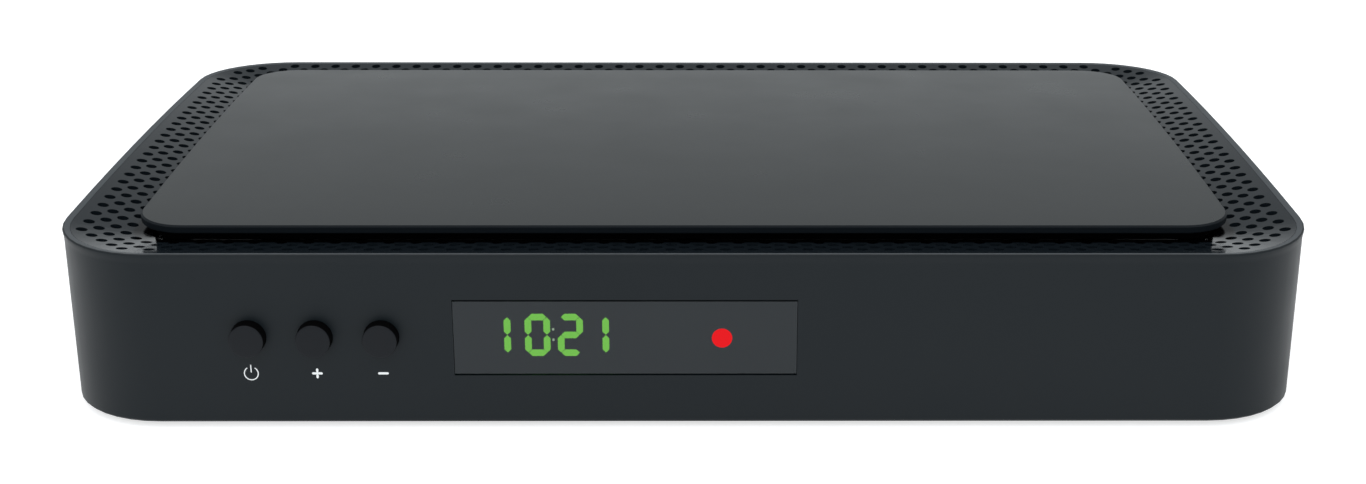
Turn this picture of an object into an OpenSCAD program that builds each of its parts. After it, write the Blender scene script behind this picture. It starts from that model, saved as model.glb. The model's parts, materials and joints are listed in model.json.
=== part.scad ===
// Satellite television receiver: a flat housing with a floating top plate over a dished
// vent panel, three push buttons and a display window in front, and sockets at the back.
// Millimetres, +Z up.  The origin lies on the table, under the middle of the whole outline.

/* [Housing] */
// Width of the housing
case_w = 220.4; // [214:0.2:240]
// Depth of the housing, over its front and rear walls
case_d = 134.6; // [128:0.2:150]
// Height of the walls at the front and back
case_h = 31.2; // [30.5:0.1:36]
// Plan radius of the vertical corners
case_r = 18.3; // [17:0.1:21]
// How far the rim rises at mid-depth
crown_h = 1.4; // [0:0.1:2.5]
// Thickness of the walls
wall = 2; // [1.8:0.1:2.4]
// Radius of the rim's outer edge
rim_r = 0.3; // [0.2:0.05:0.6]
// How far the rim flares out past the walls
rim_flare = 0.2; // [0:0.05:0.3]
// Depth under the rim at which the flare runs out into the walls
flare_h = 1.8; // [1.2:0.1:2.6]
// Radius under the lower edge of the walls
hem_r = 0.4; // [0.2:0.1:0.8]
// Radius of the posts in the housing's corners
post_r = 4; // [3.5:0.1:4.5]
// How far in from the walls' faces the posts stand
post_in = 19; // [18.5:0.1:21]
// Thickness of the ribs that tie the posts to the walls
rib_t = 1.6; // [1.2:0.1:2]

/* [Vent panel] */
// Thickness of the vent panel
panel_t = 1.6; // [1.2:0.1:2]
// How far in from the walls' faces the rim ends and the vent panel starts
rim_w = 1.1; // [1:0.1:1.3]
// Width of the ledge that carries the vent panel
ledge_w = 1.5; // [1.4:0.1:2]
// How far in from the walls' faces the sloping band ends
dish_w = 15; // [14.5:0.1:15.6]
// Fall of the sloping band for each millimetre inwards
dish_slope = 0.2; // [0.15:0.01:0.22]
// Step from the band's end down to the flat middle
dish_step = 0.2; // [0.1:0.1:0.6]
// Vent hole diameter
vent_d = 2; // [1.6:0.1:2.2]
// Pitch of the vent holes along a row, left to right
vent_pitch_x = 4.727; // [4.6:0.001:5]
// Pitch of the vent holes along a column, front to back
vent_pitch_y = 4.39; // [4.3:0.01:4.8]
// Least distance from the walls' faces to a vent hole's centre
vent_margin = 2.7; // [2.6:0.1:3.2]
// Width of the band that holds the vent holes
vent_band = 10; // [6:0.1:10.4]
// How far towards the back the outer edge of the vent holes' field lies
vent_back = 0.5; // [0:0.1:0.8]

/* [Top plate] */
// How far in from the housing's sides the top plate ends
plate_side = 12.7; // [11.5:0.1:13.5]
// How far in from the housing's front and back the top plate ends
plate_end = 11.8; // [11:0.1:13]
// Plan radius of the top plate's corners
plate_r = 9.1; // [7:0.1:11]
// Thickness of the top plate
plate_t = 1.6; // [1.2:0.1:2]
// How far the top plate stands above the rim
plate_rise = 0.7; // [0.4:0.1:1.2]
// Radius of the top plate's edges
plate_edge = 0.3; // [0.2:0.1:0.5]
// Radius of the pillars that carry the top plate
pillar_r = 3; // [2.4:0.1:4]
// Radius of the pins under the pillars
pin_r = 1.6; // [1.2:0.1:2]
// How far in from the housing's sides the outer pillars stand
pillar_side = 35; // [30:1:50]
// How far in from the housing's front and back the pillars stand
pillar_end = 29; // [27:1:37]

/* [Bottom tray] */
// Thickness of the tray's floor
floor_t = 2; // [2:0.1:2.4]
// Height of the tray's lip inside the walls
lip_h = 3; // [2:0.1:3.4]
// Thickness of the tray's lip
lip_t = 1.4; // [1:0.1:2]
// How far in from the housing's sides the rear socket panel ends
rear_side = 18; // [17:0.5:22]
// How far the rear socket panel ends under the rim
rear_drop = 5.2; // [4.6:0.1:6]
// Radius of the socket panel's upper corners
rear_r = 3; // [1:0.5:5]
// Number of vent slots in the floor
slot_count = 13; // [5:1:15]
// Width of a floor vent slot
slot_w = 2.2; // [1.6:0.1:2.6]
// Length of a floor vent slot
slot_l = 40; // [20:1:46]
// Pitch of the floor vent slots
slot_pitch = 5; // [4:0.1:6]

/* [Feet] */
// Diameter of a foot
foot_d = 12; // [10:0.5:16]
// How far the feet stand below the housing
foot_h = 1; // [0.8:0.1:2]
// Depth of the pocket that holds a foot
foot_seat = 0.8; // [0.5:0.1:1.2]
// How far in from the housing's sides the feet stand
foot_side = 36; // [32:1:50]
// How far in from the housing's front and back the feet stand
foot_end = 13; // [11:0.5:19]

/* [Buttons] */
// Diameter of a button
button_d = 6; // [5:0.1:6.4]
// How far a button stands out of the front
button_proud = 2.4; // [1.5:0.1:2.6]
// Travel of a button
button_travel = 0.5; // [0.2:0.05:0.6]
// Distance from the housing's left side to the first button
button_in = 35; // [33:0.1:38]
// Pitch of the buttons
button_pitch = 11.45; // [10:0.05:12]
// Height of the buttons over the walls' lower edge
button_z = 16.1; // [14:0.1:18]
// Thickness of the flange that holds a button in
flange_t = 0.8; // [0.6:0.1:1]
// How much wider the flange is than the button, all round
flange_w = 1.05; // [0.8:0.05:1.3]

/* [Display] */
// Width of the display window
window_w = 59.2; // [56:0.1:62]
// Height of the display window
window_h = 13.7; // [13:0.1:15]
// Thickness of the display window
window_t = 1.2; // [1:0.1:1.4]
// Distance from the last button's middle to the window
window_gap = 12.5; // [10:0.1:14]
// Middle of the window over the walls' lower edge
window_z = 15.9; // [14:0.1:17]
// Width of the ledge that the window is stuck to
window_seat = 1; // [0.8:0.1:1.1]
// Height of a digit
digit_h = 7.8; // [7:0.1:8.4]
// Width of a full digit
digit_w = 4.4; // [4:0.1:5]
// Width of a lit bar
bar_w = 1.15; // [0.9:0.05:1.3]
// Diameter of the standby lamp
lamp_d = 3.6; // [3:0.1:4]

/* [Circuit boards] */
// How far in from the housing's sides the main board ends
board_side = 24; // [24:0.5:27]
// Distance from the housing's front to the main board
board_gap = 31.7; // [29:0.1:35]
// Thickness of the circuit boards
board_t = 1.6; // [1.2:0.2:1.6]
// Height of the main board over the tray's floor
board_lift = 5; // [4:0.1:5.2]
// Width of the ribbon cable
ribbon_w = 12; // [6:1:14]

/* [Rear sockets] */
// Radius of an aerial connector's thread
thread_r = 4.76; // [4.7:0.01:4.8]
// How far the aerial connectors stand out of the back
thread_proud = 10; // [8:0.5:12]
// Distance between the aerial input and the aerial output
aerial_pitch = 18; // [17:0.5:20]
// How far in from the socket panel's aerial end the row of sockets starts
row_start = 9; // [7:0.5:12]
// How far in from the socket panel's power end the row of sockets ends
row_end = 15.5; // [12:0.5:18]
// Radius of the sound and picture jack's bore
jack_r = 1.8; // [1.75:0.01:1.85]
// Radius of the power jack's bore
power_r = 3.15; // [3:0.05:3.25]

/* [Hidden] */
$fn = 48;

// Colours
shell_grey = "#2b2f32";
plate_grey = "#5a5f61";
metal = "#c3c6c8";
black = "#17191a";
board_green = "#1f5a3a";

// Clearances
fit = 0.1; // beside a piece that slides in its hole or seat
seam = 0.05; // between the rim and the vent panel
slip = 0.15; // beside a piece that is laid or pushed into its place

// Curves: segments in a corner, and along a crowned side
corner_steps = 10;
side_steps = 7;

// Levels
hem_z = foot_h;
rim_z = hem_z + case_h;
floor_z = hem_z + floor_t;
board_z = floor_z + board_lift;
board_top = board_z + board_t;
front_y = -case_d / 2;
rear_y = case_d / 2;
front_in = front_y + wall;
rear_in = rear_y - wall;
plate_w = case_w - 2 * plate_side;
plate_d = case_d - 2 * plate_end;
// What stands out in front and behind is balanced about the origin
case_y = (button_proud - thread_proud) / 2;

// ---- Plans, rings and skins ----

// A plan outline is a list of stations [x, y, outward x, outward y], anticlockwise from the
// middle of the front, so that the right half mirrors the left half station for station.
function corner_stations(w, d, r, sx, sy, a0) = [for (i = [0:corner_steps])
    let (a = a0 + 90 * i / corner_steps)
    [sx * (w / 2 - r) + r * cos(a), sy * (d / 2 - r) + r * sin(a), cos(a), sin(a)]];
function side_stations(w, d, r, sx) = [for (i = [1:side_steps - 1])
    [sx * w / 2, sx * (d - 2 * r) * (i / side_steps - 0.5), sx, 0]];
function plan(w, d, r) = concat(
    corner_stations(w, d, r, 1, -1, 270), side_stations(w, d, r, 1),
    corner_stations(w, d, r, 1, 1, 0), corner_stations(w, d, r, -1, 1, 90),
    side_stations(w, d, r, -1), corner_stations(w, d, r, -1, -1, 180));
case_plan = plan(case_w, case_d, case_r);
plate_plan = plan(plate_w, plate_d, plate_r);

// Height of the crowned rim over the line y
function crest(y) = rim_z + crown_h * (1 - pow(2 * y / case_d, 2));
// One ring of points round a plan: inset from its outline, at a depth under the crest,
// or at a level height where level is given
function ring(p, inset, under, level = undef) = [for (s = p)
    let (x = s[0] - inset * s[2], y = s[1] - inset * s[3])
    [x, y, is_undef(level) ? crest(y) - under : level]];
// The triangles between ring k and ring l, of n points each
function band_faces(k, l, n) = [for (j = [0:n - 1]) let (i = (j + 1) % n)
    each [[l * n + i, l * n + j, k * n + j], [k * n + i, l * n + i, k * n + j]]];
// The triangles that close ring k straight across from its right half to its left half
function cap_faces(k, n, up) = [for (j = [0:n / 2 - 2])
    let (a = k * n + j, b = a + 1, d = k * n + n - 1 - j, c = d - 1)
    each up ? [[c, b, a], [d, c, a]] : [[a, b, c], [a, c, d]]];

// A closed solid from rings that run from the middle of its top, outwards, to its underside
module skin_solid(rings) {
    n = len(rings[0]);
    last = len(rings) - 1;
    polyhedron(points = [for (r = rings) each r], faces = concat(
        cap_faces(0, n, true), [for (k = [0:last - 1]) each band_faces(k, k + 1, n)],
        cap_faces(last, n, false)));
}
// A closed frame from rings that run up its inside, over its top and down its outside
module skin_frame(rings) {
    n = len(rings[0]);
    count = len(rings);
    polyhedron(points = [for (r = rings) each r],
        faces = [for (k = [0:count - 1]) each band_faces(k, (k + 1) % count, n)]);
}
// The plan outline as a flat shape
module plan_shape(p, inset) polygon([for (s = ring(p, inset, 0)) [s[0], s[1]]]);

// ---- Helpers ----

// A cylinder along +Y from y = 0
module rod_y(r, h) rotate([-90, 0, 0]) cylinder(r = r, h = h);
// A box given by its middle in x, its start in y and its start in z
module box_at(x, y, z, w, d, h) translate([x - w / 2, y, z]) cube([w, d, h]);
module mirrored_x() { children(); mirror([1, 0, 0]) children(); }
module mirrored_y() { children(); mirror([0, 1, 0]) children(); }
module four(x, y) mirrored_x() mirrored_y() translate([x, y, 0]) children();
// Screw with its head above z = 0 and its shank below
module screw(head_r, head_h, shank_r, shank_l) {
    difference() {
        cylinder(r = head_r, h = head_h);
        translate([0, 0, head_h * 0.45]) mirrored_cross(head_r * 1.2, head_r * 0.28, head_h);
    }
    translate([0, 0, -shank_l]) cylinder(r = shank_r, h = shank_l + 0.2);
}
module mirrored_cross(l, w, h) {
    translate([-l / 2, -w / 2, 0]) cube([l, w, h]);
    translate([-w / 2, -l / 2, 0]) cube([w, l, h]);
}

// ---- Housing ----

ledge_in = rim_w + ledge_w;
ledge_edge = 0.8;
function dish(inset) = dish_slope * max(0, inset - rim_r + rim_flare);
well_z = rim_z - dish(dish_w) - dish_step;
post_top = well_z - panel_t;
post_x = case_w / 2 - post_in;
post_y = case_d / 2 - post_in;
pad_h = 2;
post_z = floor_z + pad_h;
pilot_r = 1.25;
screw_r = 1.2;

// Front board: where it stands, and the posts that carry it
display_gap = 0.35;
module_d = 6.3;
board_y = front_y + window_t + display_gap + module_d;
front_board_lift = 5;
front_board_z = hem_z + front_board_lift;
front_board_h = post_top - 0.5 - front_board_z;
stud_r = 2.4;
stud_pilot = 0.9;
stud_side = 9.3;
stud_gap = 4.7;
stud_end = 4;
button_x0 = -case_w / 2 + button_in;
window_x = button_x0 + 2 * button_pitch + window_gap + window_w / 2;
left_stud = button_x0 - stud_side;
middle_stud = window_x - window_w / 2 - stud_gap;
right_stud = window_x + window_w / 2 + stud_gap;
studs = [[left_stud, front_board_z + stud_end],
    [middle_stud, front_board_z + front_board_h - stud_end],
    [right_stud, front_board_z + front_board_h / 2]];

// Rear socket panel
rear_w = case_w - 2 * rear_side;
rear_h = case_h - rear_drop;

module vent_holes() {
    step_x = vent_pitch_x / 2;
    step_y = vent_pitch_y / 2;
    cols = floor(case_w / 2 / step_x);
    rows = floor(case_d / 2 / step_y);
    limit = vent_margin + vent_band;
    for (m = [-cols:cols], n = [-rows - 1:rows])
        if ((m + n) % 2 == 0) {
            x = m * step_x;
            y = (n + 0.5) * step_y;
            if (inset_of(x, y - vent_back) >= vent_margin && inset_of(x, y) <= limit)
                translate([x, y, post_top]) cylinder(d = vent_d, h = case_h, $fn = 16);
        }
}
// How far a point lies inside the housing's outline
function inset_of(x, y) =
    let (qx = abs(x) - (case_w / 2 - case_r), qy = abs(y) - (case_d / 2 - case_r))
    qx > 0 && qy > 0 ? case_r - norm([qx, qy]) : case_r - max(qx, qy);

// Outline of the rear socket panel, seen from behind, with round upper corners
function panel_outline(w, h, r) = concat([[-w / 2, 0], [w / 2, 0]],
    [for (a = [0:15:90]) [w / 2 - r + r * cos(a), h - r + r * sin(a)]],
    [for (a = [90:15:180]) [-w / 2 + r + r * cos(a), h - r + r * sin(a)]]);
module rear_opening(w, h, r, y, t, z) translate([0, y + t, z])
    rotate([90, 0, 0]) linear_extrude(t) polygon(panel_outline(w, h, r));

module shell_post() {
    cylinder(r = post_r, h = post_top - post_z);
    rib_z = floor_z + lip_h + 2 - post_z;
    rib_h = post_top - post_z - 4 - rib_z;
    rib_l = post_in - wall + 0.5;
    translate([0, -rib_t / 2, rib_z]) cube([rib_l, rib_t, rib_h]);
    translate([-rib_t / 2, 0, rib_z]) cube([rib_t, rib_l, rib_h]);
}

module outer_shell() color(shell_grey) {
    under_ledge = dish(ledge_in) + panel_t + ledge_edge;
    difference() {
        union() {
            skin_frame(concat(
                [ring(case_plan, wall, 0, hem_z),
                 ring(case_plan, wall, under_ledge + ledge_in - wall),
                 ring(case_plan, ledge_in, under_ledge),
                 ring(case_plan, ledge_in, dish(ledge_in) + panel_t),
                 ring(case_plan, rim_w, dish(rim_w) + panel_t),
                 ring(case_plan, rim_w, dish(rim_w))],
                [for (a = [0:22.5:90])
                    ring(case_plan, rim_r * (1 - sin(a)) - rim_flare, rim_r * (1 - cos(a)))],
                [for (t = [0.25:0.25:1]) ring(case_plan, -rim_flare * (1 + cos(180 * t)) / 2,
                    rim_r + (flare_h - rim_r) * t)],
                [ring(case_plan, 0, 0, hem_z + hem_r), ring(case_plan, hem_r, 0, hem_z)]));
            four(post_x, post_y) translate([0, 0, post_z]) shell_post();
            for (s = studs)
                translate([s[0], front_in - 0.5, s[1]]) rod_y(stud_r, board_y - front_in + 0.5);
        }
        four(post_x, post_y) translate([0, 0, post_z - 1])
            cylinder(r = pilot_r, h = post_top - post_z + 2);
        for (s = studs) translate([s[0], front_in + 0.5, s[1]]) rod_y(stud_pilot, board_y - front_in);
        for (i = [0:2]) translate([button_x0 + i * button_pitch, front_y - 1, hem_z + button_z])
            rod_y(button_d / 2 + fit, wall + 2);
        box_at(window_x, front_y - 1, hem_z + window_z - window_h / 2 - slip,
            window_w + 2 * slip, window_t + 1, window_h + 2 * slip);
        box_at(window_x, front_y, hem_z + window_z - window_h / 2 + window_seat,
            window_w - 2 * window_seat, wall + 1, window_h - 2 * window_seat);
        rear_opening(rear_w, rear_h + 1, rear_r, rear_in - 1, wall + 2, hem_z - 1);
    }
}

module vent_panel() color(shell_grey) {
    edge = rim_w + seam;
    skirt = dish_w - panel_t;
    difference() {
        skin_solid([
            ring(case_plan, dish_w, 0, well_z), ring(case_plan, dish_w, dish(dish_w)),
            ring(case_plan, edge, dish(edge)), ring(case_plan, edge, dish(edge) + panel_t),
            ring(case_plan, skirt, dish(skirt) + panel_t), ring(case_plan, skirt, 0, post_top)]);
        vent_holes();
        pillars() translate([0, 0, post_top - 1]) cylinder(r = pin_r + fit, h = panel_t + 2);
        four(post_x, post_y) translate([0, 0, post_top - 1])
            cylinder(r = screw_r + 0.3, h = panel_t + 2);
    }
}

pillar_x = case_w / 2 - pillar_side;
pillar_y = case_d / 2 - pillar_end;
module pillars() for (x = [-pillar_x, 0, pillar_x]) mirrored_y()
    translate([x, pillar_y, 0]) children();

module top_plate() color(plate_grey) {
    under = plate_t - plate_rise;
    skin_solid([
        ring(plate_plan, plate_edge, -plate_rise), ring(plate_plan, 0, plate_edge - plate_rise),
        ring(plate_plan, 0, under - plate_edge), ring(plate_plan, plate_edge, under)]);
    pillar_top = crest(pillar_y + pillar_r) - under + plate_t / 2;
    pillars() {
        translate([0, 0, well_z]) cylinder(r = pillar_r, h = pillar_top - well_z);
        translate([0, 0, post_top - pin_r / 2]) cylinder(r = pin_r, h = well_z - post_top + 2);
        translate([0, 0, post_top - pin_r / 2 - 0.4]) cylinder(r = pin_r * 1.6, h = pin_r / 2 + 0.4);
    }
}

module bottom_tray() color(shell_grey) {
    edge = wall + fit;
    difference() {
        union() {
            translate([0, 0, hem_z]) linear_extrude(floor_t) plan_shape(case_plan, edge);
            translate([0, 0, hem_z]) linear_extrude(floor_t + lip_h) difference() {
                plan_shape(case_plan, edge);
                plan_shape(case_plan, edge + lip_t);
            }
            four(post_x, post_y) translate([0, 0, hem_z]) cylinder(r = post_r + 0.6, h = post_z - hem_z);
            board_bosses() translate([0, 0, hem_z]) cylinder(r = boss_r, h = board_z - hem_z);
        }
        four(post_x, post_y) translate([0, 0, hem_z - 1]) {
            cylinder(r = screw_r + 0.4, h = post_z);
            cylinder(r = case_head_r + 0.3, h = case_head_z - hem_z + 1);
        }
        board_bosses() translate([0, 0, floor_z]) cylinder(r = boss_pilot, h = board_lift + 1);
        feet_at() translate([0, 0, hem_z - 1]) cylinder(d = foot_d + 2 * fit, h = foot_seat + 1);
        for (i = [0:slot_count - 1])
            box_at((i - (slot_count - 1) / 2) * slot_pitch, -slot_l / 2, hem_z - 1,
                slot_w, slot_l, floor_t + 2);
    }
}

// The socket panel stands in the rear opening, and its hooked strip lies on the tray's lip
module rear_panel() color(shell_grey) {
    strip_d = lip_t + fit + 1;
    strip_t = 1.2;
    difference() {
        union() {
            rear_opening(rear_w - 2 * slip, rear_h - slip, rear_r, rear_in, wall, hem_z);
            box_at(0, rear_in - strip_d, floor_z + lip_h, rear_w - 4 * rear_r,
                strip_d + wall / 2, strip_t);
        }
        socket_cutouts();
    }
}

foot_x = case_w / 2 - foot_side;
foot_y = case_d / 2 - foot_end;
module feet_at() four(foot_x, foot_y) children();
module feet() color("#1b1b1b") feet_at()
    rotate_extrude() polygon([[0, 0], [foot_d / 2 - 0.3, 0], [foot_d / 2, 0.3],
        [foot_d / 2, hem_z + foot_seat], [0, hem_z + foot_seat]]);

case_head_r = 2.9;
case_head_h = 1.7;
case_head_z = post_z - 1.6;
case_screw_l = 9;
panel_head_r = 2.4;
panel_head_h = 1.4;
panel_screw_l = 7;
module case_screws() color(metal) four(post_x, post_y)
    translate([0, 0, case_head_z - case_head_h]) mirror([0, 0, 1])
        translate([0, 0, -case_head_h]) screw(case_head_r, case_head_h, screw_r, case_screw_l);
module panel_screws() color(metal) four(post_x, post_y)
    translate([0, 0, well_z]) screw(panel_head_r, panel_head_h, screw_r, panel_screw_l);

// ---- Circuit boards ----

board_rear = rear_in - 0.3;
board_front = front_y + board_gap;
board_w = case_w - 2 * board_side;
board_d = board_rear - board_front;
boss_r = 3.2;
boss_pilot = 1.15;
boss_in = 5;
rear_boss_in = 40;
board_head_r = 2.6;
board_head_h = 1.6;
board_shank_r = 1.05;
board_screw_l = 5;
module board_bosses() mirrored_x() for (y = [board_front + boss_in, board_rear - rear_boss_in])
    translate([board_w / 2 - boss_in, y, 0]) children();

module main_board() color(board_green) difference() {
    box_at(0, board_front, board_z, board_w, board_d, board_t);
    board_bosses() translate([0, 0, board_z - 1]) cylinder(r = boss_pilot + 0.4, h = board_t + 2);
}
module board_screws() color(metal) board_bosses()
    translate([0, 0, board_top]) screw(board_head_r, board_head_h, board_shank_r, board_screw_l);

front_board_end = 4;
front_board_x0 = left_stud - front_board_end;
front_head_r = 2;
front_head_h = 1.3;
front_screw_l = 5;
module front_board() color(board_green) difference() {
    translate([front_board_x0, board_y, front_board_z])
        cube([right_stud + front_board_end - front_board_x0, board_t, front_board_h]);
    for (s = studs) translate([s[0], board_y - 1, s[1]]) rod_y(stud_pilot + 0.3, board_t + 2);
}
module front_board_screws() color(metal) for (s = studs)
    translate([s[0], board_y + board_t, s[1]]) rotate([-90, 0, 0])
        screw(front_head_r, front_head_h, stud_pilot - 0.05, front_screw_l);

// Ribbon cable: its two sockets, and the slack curve between them
ribbon_right = 7.2;
ribbon_x = window_x + ribbon_right;
ribbon_t = 0.3;
ribbon_lift = 7;
ribbon_top = front_board_z + ribbon_lift;
socket_h = 2.4;
socket_d = 3.6;
socket_end = 1.5;
ribbon_from = [board_y + board_t + socket_d, ribbon_top];
ribbon_to = [board_front + 1, board_top + socket_h / 2];
module ribbon_socket(y, z) box_at(ribbon_x, y, z, ribbon_w + 2 * socket_end, socket_d, socket_h);
module ribbon_sockets() color("#e6e1d2") {
    ribbon_socket(board_y + board_t, ribbon_top - socket_h / 2);
    ribbon_socket(ribbon_to[0], board_top);
}
function bezier(a, b, c, d, t) = a * pow(1 - t, 3) + 3 * b * t * pow(1 - t, 2)
    + 3 * c * pow(t, 2) * (1 - t) + d * pow(t, 3);
module ribbon_cable() color("#d9dde0") {
    slack = [(ribbon_to[0] - ribbon_from[0]) * 0.45, 0];
    line = [for (i = [0:12])
        bezier(ribbon_from, ribbon_from + slack, ribbon_to - slack, ribbon_to, i / 12)];
    translate([ribbon_x - ribbon_w / 2, 0, 0]) rotate([90, 0, 90]) linear_extrude(ribbon_w)
        polygon(concat([for (p = line) p + [0, ribbon_t / 2]],
            [for (i = [12:-1:0]) line[i] - [0, ribbon_t / 2]]));
}

// ---- Display ----

// The lit bars lie a little behind the window, so they sit a little lower than they look
bar_y = front_y + window_t + slip;
bar_t = display_gap - slip;
digits_left = 11.92;
digits_x = window_x - digits_left;
digits_z = hem_z + window_z - 0.02;
module_w = 30;
module_rim = 1.1;
// Middles of the four digits and of the two points between them, from the display's middle
digit_x = [-10.21, -3.36, 2.33, 6.84];
point_x = -0.63;
point_r = 0.2;
bar_gap = 0.15;

module display_window() color("#3b3e41")
    box_at(window_x, front_y, hem_z + window_z - window_h / 2, window_w, window_t, window_h);

module display_module() color(black)
    box_at(digits_x, bar_y + bar_t, digits_z - digit_h / 2 - module_rim,
        module_w, module_d, digit_h + 2 * module_rim);

// A flat bar with mitred ends, centred, lying along x
function bar_outline(l, w) = [[l / 2, 0], [l / 2 - w / 2, w / 2], [w / 2 - l / 2, w / 2],
    [-l / 2, 0], [w / 2 - l / 2, -w / 2], [l / 2 - w / 2, -w / 2]];
module bar(x, z, l, turn) translate([x, bar_y + bar_t, z]) rotate([90, turn, 0])
    linear_extrude(bar_t) polygon(bar_outline(l, bar_w));
// One digit from the seven bars a to g, centred on x
module digit(x, bars) {
    side = digit_w / 2 - bar_w / 2;
    rung = digit_h / 2 - bar_w / 2;
    upright = rung - bar_gap;
    across = 2 * side - bar_gap;
    for (b = bars) {
        if (b == "a") bar(x, digits_z + rung, across, 0);
        if (b == "b") bar(x + side, digits_z + rung / 2, upright, 90);
        if (b == "c") bar(x + side, digits_z - rung / 2, upright, 90);
        if (b == "d") bar(x, digits_z - rung, across, 0);
        if (b == "e") bar(x - side, digits_z - rung / 2, upright, 90);
        if (b == "f") bar(x - side, digits_z + rung / 2, upright, 90);
        if (b == "g") bar(x, digits_z, across, 0);
    }
}
module display_segments() color("#78c355") {
    shapes = ["bc", "abcdef", "abged", "bc"];
    for (i = [0:3]) digit(digits_x + digit_x[i], shapes[i]);
    for (z = [1.06, -0.9]) translate([digits_x + point_x, bar_y, digits_z + z])
        rod_y(point_r, bar_t);
}

lamp_right = 16.7;
lamp_x = window_x + lamp_right;
lamp_z = hem_z + window_z - 0.52;
module standby_lamp() color("#f01e23") translate([lamp_x, board_y, lamp_z]) mirror([0, 1, 0])
    rod_y(lamp_d / 2, board_y - bar_y);

receiver_right = 8;
receiver_r = 2.4;
receiver_w = 6;
receiver_h = 8;
receiver_back = 3;
receiver_y = bar_y + 1.5;
module infrared_receiver() color(black) translate([lamp_x + receiver_right, 0, lamp_z]) {
    box_at(0, board_y - receiver_back, -receiver_h / 2, receiver_w, receiver_back, receiver_h);
    translate([0, receiver_y, 0]) rod_y(receiver_r, board_y - receiver_y - receiver_back + 0.5);
    translate([0, receiver_y, 0]) sphere(r = receiver_r * 0.6);
}

// ---- Buttons ----

switch_h = 3.5;
switch_w = 6;
plunger_r = 1.7;
plunger_proud = 0.9;
switch_y = board_y - switch_h;
flange_y = front_in + fit;
button_r = button_d / 2;

module at_button(i) translate([button_x0 + i * button_pitch, 0, hem_z + button_z]) children();

// A button: its cap with an eased edge, the flange behind the wall and the stem
module button() color(shell_grey) {
    cap_l = flange_y - front_y + button_proud;
    ease = 0.35;
    stem_l = switch_y - plunger_proud - flange_y;
    translate([0, flange_y, 0]) rotate([90, 0, 0]) rotate_extrude() polygon(concat(
        [[0, -stem_l], [plunger_r, -stem_l], [plunger_r, -flange_t],
         [button_r + flange_w, -flange_t], [button_r + flange_w, 0], [button_r, 0]],
        [for (a = [0:22.5:90])
            [button_r - ease + ease * cos(a), cap_l - ease + ease * sin(a)]],
        [[0, cap_l]]));
}
module plunger() color("#d8d4c8") translate([0, switch_y - plunger_proud, 0])
    rod_y(plunger_r, plunger_proud + switch_h / 3);
module power_button() at_button(0) button();
module channel_up_button() at_button(1) button();
module channel_down_button() at_button(2) button();
module power_plunger() at_button(0) plunger();
module channel_up_plunger() at_button(1) plunger();
module channel_down_plunger() at_button(2) plunger();
module button_switches() color(black) for (i = [0:2]) at_button(i) difference() {
    box_at(0, switch_y, -switch_w / 2, switch_w, switch_h, switch_w);
    translate([0, switch_y - 1, 0]) rod_y(plunger_r + fit, 1 + switch_h / 3 + button_travel + 0.2);
}

// ---- Rear sockets ----

can_w = 36;
can_d = 30;
can_h = 14;
can_rear = rear_in - 0.6;
optical_w = 9.8;
optical_d = 13;
optical_port = 5.8;
jack_w = 7;
jack_h = 7.2;
jack_bore = 12;
hdmi_w = 15;
hdmi_h = 5.6;
usb_w = 13.2;
usb_h = 5.9;
usb_d = 14;
network_w = 16;
network_h = 13.4;
power_w = 9;
power_h = 11;
power_d = 14;
power_bore = 10;
// The row runs from the tuner can to the power jack with even gaps
row = [can_w, optical_w, jack_w, hdmi_w, usb_w, network_w, power_w];
function total(v, n) = n == 0 ? 0 : v[n - 1] + total(v, n - 1);
row_gap = (rear_w - row_start - row_end - total(row, len(row))) / (len(row) - 1);
function row_x(i) = rear_w / 2 - row_start - total(row, i) - i * row_gap - row[i] / 2;
can_x = row_x(0);
optical_x = row_x(1);
jack_x = row_x(2);
hdmi_x = row_x(3);
usb_x = row_x(4);
network_x = row_x(5);
power_x = row_x(6);
lnb_x = can_x + aerial_pitch / 2;
loop_x = can_x - aerial_pitch / 2;
aerial_lift = 7;
aerial_z = board_top + aerial_lift;
thread_depth = 0.26;
root_r = thread_r - thread_depth;
shoulder_w = 1.1;
nut_r = 6.35;
nut_h = 2.2;
washer_r = 6.6;
washer_t = 0.5;
core_wall = 1.1;
core_r = root_r - core_wall;
core_l = 7.6;
socket_face = rear_y - 0.2;
power_lift = 6.5;
power_z = board_top + power_lift;
jack_z = board_top + jack_h / 2;
jack_barrel = 3.2;

module tuner_can() color(metal) {
    box_at(can_x, can_rear - can_d, board_top, can_w, can_d, can_h - 1);
    difference() {
        box_at(can_x, can_rear - can_d + 0.3, board_top + can_h - 1.5, can_w - 0.6, can_d - 0.6, 1.5);
        box_at(can_x, can_rear - can_d + 2, board_top + can_h - 0.4, can_w - 4, can_d - 4, 1);
    }
}
module at_aerial(x) translate([x, 0, aerial_z]) children();
// A threaded aerial connector: shoulder, root under the nut, free thread and hollow end
module aerial_connector() color(metal) difference() {
    end = rear_y + thread_proud;
    thread_y = rear_y + washer_t + nut_h;
    union() {
        translate([0, can_rear, 0]) rod_y(root_r + shoulder_w, rear_in - can_rear);
        translate([0, can_rear, 0]) rod_y(root_r, end - can_rear);
        translate([0, thread_y, 0]) rod_y(thread_r, end - thread_y);
    }
    translate([0, end - core_l - 0.4, 0]) rod_y(core_r + 0.05, core_l + 1.4);
}
module lnb_connector() at_aerial(lnb_x) aerial_connector();
module loop_connector() at_aerial(loop_x) aerial_connector();
module at_aerials() for (x = [lnb_x, loop_x]) at_aerial(x) children();
module connector_cores() color("#eceae2") at_aerials()
    translate([0, rear_y + thread_proud - core_l - 0.4, 0]) difference() {
        rod_y(core_r, core_l);
        translate([0, 2, 0]) rod_y(0.6, core_l);
    }
module connector_washers() color(metal) at_aerials() translate([0, rear_y, 0]) difference() {
    rod_y(washer_r, washer_t);
    translate([0, -1, 0]) rod_y(root_r + fit, washer_t + 2);
}
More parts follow.
